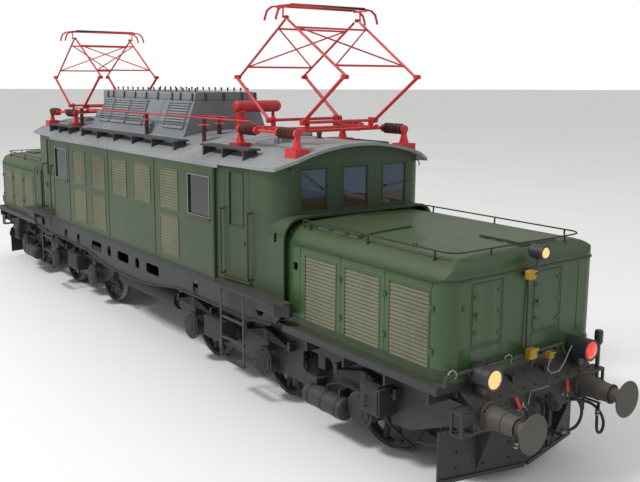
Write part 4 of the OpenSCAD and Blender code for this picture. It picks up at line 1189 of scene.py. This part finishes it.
def brakeRods(bm):
    for side in (-1, 1):
        y = side * 0.98
        addPath(bm, [(1.42, y, 0.44), (2.1, y, 0.47)], 0.022)
        addPath(bm, [(7.6, y, 0.38), (7.85, y, 0.42), (8.02, y, 0.5), (8.02, y, 0.88)], 0.02)
        for x in gearSet["axles"]:
            for d in (-1, 1):
                if x + d * 0.78 < 1.5:
                    continue
                addRod(bm, (x + d * 0.72, y, 0.52), (x + d * 0.76, y, 0.84), 0.024, sides=8)


def sandBoxTrim(bm):
    for side in (-1, 1):
        y = side * 1.4
        addBox(bm, (7.02, y, 0.73), (7.32, y + side * 0.014, 1.03), bevel=0.005)
        addPath(bm, [(7.12, y, 0.93), (7.12, y + side * 0.05, 0.92), (7.12, y + side * 0.05, 0.8),
                     (7.12, y, 0.79)], 0.009)
        addPath(bm, [(7.2, side * 1.2, 0.7), (7.24, side * 1.1, 0.5), (7.32, side * 0.88, 0.25),
                     (7.38, side * 0.78, 0.14)], 0.02)
        addBox(bm, (2.92, y - side * 0.02, 0.68), (3.44, y - side * 0.006, 0.95), bevel=0.004)


def tankBands(bm):
    for side in (-1, 1):
        for x in (5.86, 6.16, 6.46):
            addRing(bm, (x, side * 1.29, 0.52), (1, 0, 0), 0.149, 0.156, 0.02, 28)
        for x, way in ((5.76, -1), (6.56, 1)):
            addTurned(bm, [(0.0, 0.0), (0.0, 0.149), (0.02, 0.135), (0.04, 0.09), (0.05, 0.0)],
                      (x, side * 1.29, 0.52), (way, 0, 0), 28)
        addPath(bm, [(6.16, side * 1.29, 0.66), (6.16, side * 1.29, 0.75), (6.3, side * 1.2, 0.8),
                     (6.9, side * 1.2, 0.82)], 0.014)


onEnds("springLeaves", springLeaves, gearBlack)
onEnds("axleBoxCovers", boxCovers, gearBlack, smooth=30)
onEnds("bogieBolts", bogieBolts, frameBlack)
onEnds("brakeRods", brakeRods, gearBlack, smooth=35)
onEnds("sandBoxTrim", sandBoxTrim, gearBlack, smooth=35)
onEnds("tankBands", tankBands, gearBlack, smooth=35)


# cab doors: window rim, key plate, kick strip, in the measures of the front left door
doorSet = {"place": (3.59, 1.54), "taper": 5.2, "window": (0.372, 0.703, 2.69, 3.5), "lock": (0.79, 2.45),
           "kick": (0.27, 0.84, 1.89, 1.93)}


def makeDoorTrim(name):
    d = doorSet
    bm = bmesh.new()
    x0, x1, z0, z1 = d["window"]
    addFrame(bm, x0, x1, z0, z1, 0.0, 0.02, 0.009)
    addBox(bm, (d["kick"][0], 0.0, d["kick"][2]), (d["kick"][1], 0.006, d["kick"][3]), bevel=0.002)
    lx, lz = d["lock"]
    addBox(bm, (lx - 0.022, 0.0, lz - 0.075), (lx + 0.022, 0.008, lz + 0.06), bevel=0.003)
    addRod(bm, (lx, 0.006, lz - 0.05), (lx, 0.014, lz - 0.05), 0.009, sides=10)
    end, hand = name.split("_")[2:]
    turn = Matrix.Translation(d["place"] + (0,)) @ Matrix.Rotation(-math.radians(d["taper"]), 4, "Z")
    if hand == "right":
        turn = Matrix.Diagonal((1, -1, 1, 1)) @ turn
    if end == "rear":
        turn = Matrix.Diagonal((-1, 1, 1, 1)) @ turn
    bmesh.ops.transform(bm, matrix=Matrix.Translation((0, 0, lift)) @ turn, verts=bm.verts)
    newPiece(name.replace("cab_door", "doorTrim"), bm, greenDoor, body_of(nodes[name])[0])


for name in nodes:
    if name.startswith("cab_door"):
        makeDoorTrim(name)


# same nodes with rounded shading
def smoothNode(name, angle=24):
    source = nodes[name]
    bm = bmesh.new()
    bm.from_mesh(source.data)
    bmesh.ops.remove_doubles(bm, verts=bm.verts, dist=0.00002)
    mesh = bpy.data.meshes.new(name + "Smooth")
    bm.to_mesh(mesh)
    bm.free()
    obj = bpy.data.objects.new(name + "Smooth", mesh)
    bpy.context.scene.collection.objects.link(obj)
    # large faces keep their own direction, so flat walls stay flat beside the arcs
    limit = math.cos(math.radians(angle))
    around = [[] for v in mesh.vertices]
    for p in mesh.polygons:
        for v in p.vertices:
            around[v].append((p.normal.copy(), p.area))
    directions = []
    for p in mesh.polygons:
        for v in p.vertices:
            total = Vector((0, 0, 0))
            for direction, area in around[v]:
                if direction.dot(p.normal) > limit:
                    total += direction * area
            directions.append(total.normalized())
    mesh.shade_smooth()
    mesh.normals_split_custom_set(directions)
    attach(obj, body_of(source)[0])
    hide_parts(name)
    rounded[name] = obj


rounded = {}
for name in nodes:
    if name.startswith(("nose_shell", "cab_shell", "headlamps", "buffers", "roof_insulators",
                        "wheelset")) or name == "roof":
        smoothNode(name)
print("body side, roof and bogie details made")


# finishes on the carried-over nodes
nodeFinish = {key: finish for finish, keys in (
    (frameBlack, ("bridge_frame", "bogie_frame")),
    (green, ("body_sides", "cab_shell")),
    (roofGrey, ("roof",)),
    (pane, ("window_glass",)),
    (louvreBeige, ("body_louvres", "nose_louvres")),
    (cabGreen, ("bulkheads", "cab_fittings")),
    (gearBlack, ("transformer", "air_tanks", "coupling", "motors")),
    (cowlBlue, ("roof_cowl",)),
    (boardGrey, ("roof_walkways",)),
    (skirtBrown, ("roof_insulators",)),
    (redPaint, ("roof_conductors", "pantograph_bases", "panto_")),
    (stepGrey, ("cab_steps",)),
    (greenDoor, ("cab_door",)),
    (noseGreen, ("nose_shell", "nose_door")),
    (bufferBrown, ("buffers",)),
    (lampGrey, ("headlamps",)),
    (ploughNavy, ("plough",)),
    (rubber, ("brake_hoses",)),
    (wheelPaint, ("wheelset",)),
) for key in keys}
for name, source in nodes.items():
    obj = rounded.get(name, source)
    longest = max((key for key in nodeFinish if name.startswith(key)), key=len)
    obj.data.materials.clear()
    obj.data.materials.append(nodeFinish[longest])


def paintPart(node, material, test):
    # faces of a CAD node whose middle passes the test take another finish
    obj = rounded.get(node, nodes[node])
    obj.data.materials.append(material)
    slot = len(obj.data.materials) - 1
    for p in obj.data.polygons:
        if test(p.center, p.normal):
            p.material_index = slot


paintPart("window_glass", darkPane, lambda c, n: abs(c.y) > 1.3)
paintPart("roof_insulators", redPaint, lambda c, n: n.z > 0.9 and c.z > 4.1)
for end in ("front", "rear"):
    paintPart("panto_%s_head" % end, rubber, lambda c, n: abs(c.y) < 0.8 and c.z > 6.0)
    for k in (1, 2, 3):
        paintPart("wheelset_%s_%d" % (end, k), steelBright,
                  lambda c, n: 0.7 < abs(c.y) < 0.8 and abs(n.y) < 0.5)


# floor, sky and lights
stageSet = {"size": 900.0, "floor": rgb(238, 238, 236), "sky": (1.0, 1.0, 1.0), "above": 0.72, "below": 0.1,
            "keyPlace": (-2.0, -24.0, 30.0), "keyPower": 9000.0, "keySize": 6.0, "aim": (1, 0, 2),
            "fillPlace": (26.0, 6.0, 16.0), "fillPower": 500.0, "fillSize": 10.0}


def makeStage(s):
    # plain pale floor
    bm = bmesh.new()
    bmesh.ops.create_grid(bm, x_segments=4, y_segments=4, size=s["size"])
    mesh = bpy.data.meshes.new("floor")
    bm.to_mesh(mesh)
    bm.free()
    floor = bpy.data.objects.new("floor", mesh)
    bpy.context.scene.collection.objects.link(floor)
    f = Finish("paleFloor")
    tone = f.blend(f.noise(0.2, 3, 0.5), s["floor"], rgb(232, 232, 230))
    mesh.materials.append(f.set(colour=tone, rough=0.9))
    # white to the eye, a soft sky above and little light from below
    world = bpy.data.worlds.new("world")
    bpy.context.scene.world = world
    world.use_nodes = True
    tree = world.node_tree
    background = tree.nodes["Background"]
    background.inputs[0].default_value = s["sky"] + (1,)
    place = tree.nodes.new("ShaderNodeTexCoord")
    split = tree.nodes.new("ShaderNodeSeparateXYZ")
    tree.links.new(place.outputs["Generated"], split.inputs[0])
    height = tree.nodes.new("ShaderNodeMapRange")
    for slot, value in (("From Min", -0.15), ("From Max", 0.35), ("To Min", s["below"]),
                        ("To Max", s["above"])):
        height.inputs[slot].default_value = value
    tree.links.new(split.outputs["Z"], height.inputs["Value"])
    eye = tree.nodes.new("ShaderNodeLightPath")
    pick = tree.nodes.new("ShaderNodeMath")
    pick.operation = "MAXIMUM"
    tree.links.new(height.outputs["Result"], pick.inputs[0])
    tree.links.new(eye.outputs["Is Camera Ray"], pick.inputs[1])
    tree.links.new(pick.outputs[0], background.inputs[1])
    for name, spot, power, size in (("key", s["keyPlace"], s["keyPower"], s["keySize"]),
                                    ("fill", s["fillPlace"], s["fillPower"], s["fillSize"])):
        data = bpy.data.lights.new(name, "AREA")
        data.energy = power
        data.size = size
        lamp = bpy.data.objects.new(name, data)
        bpy.context.scene.collection.objects.link(lamp)
        lamp.location = spot
        lamp.rotation_euler = (Vector(s["aim"]) - Vector(spot)).to_track_quat("-Z", "Y").to_euler()
    bpy.context.scene.view_settings.view_transform = "Standard"


makeStage(stageSet)
print("scene ready")
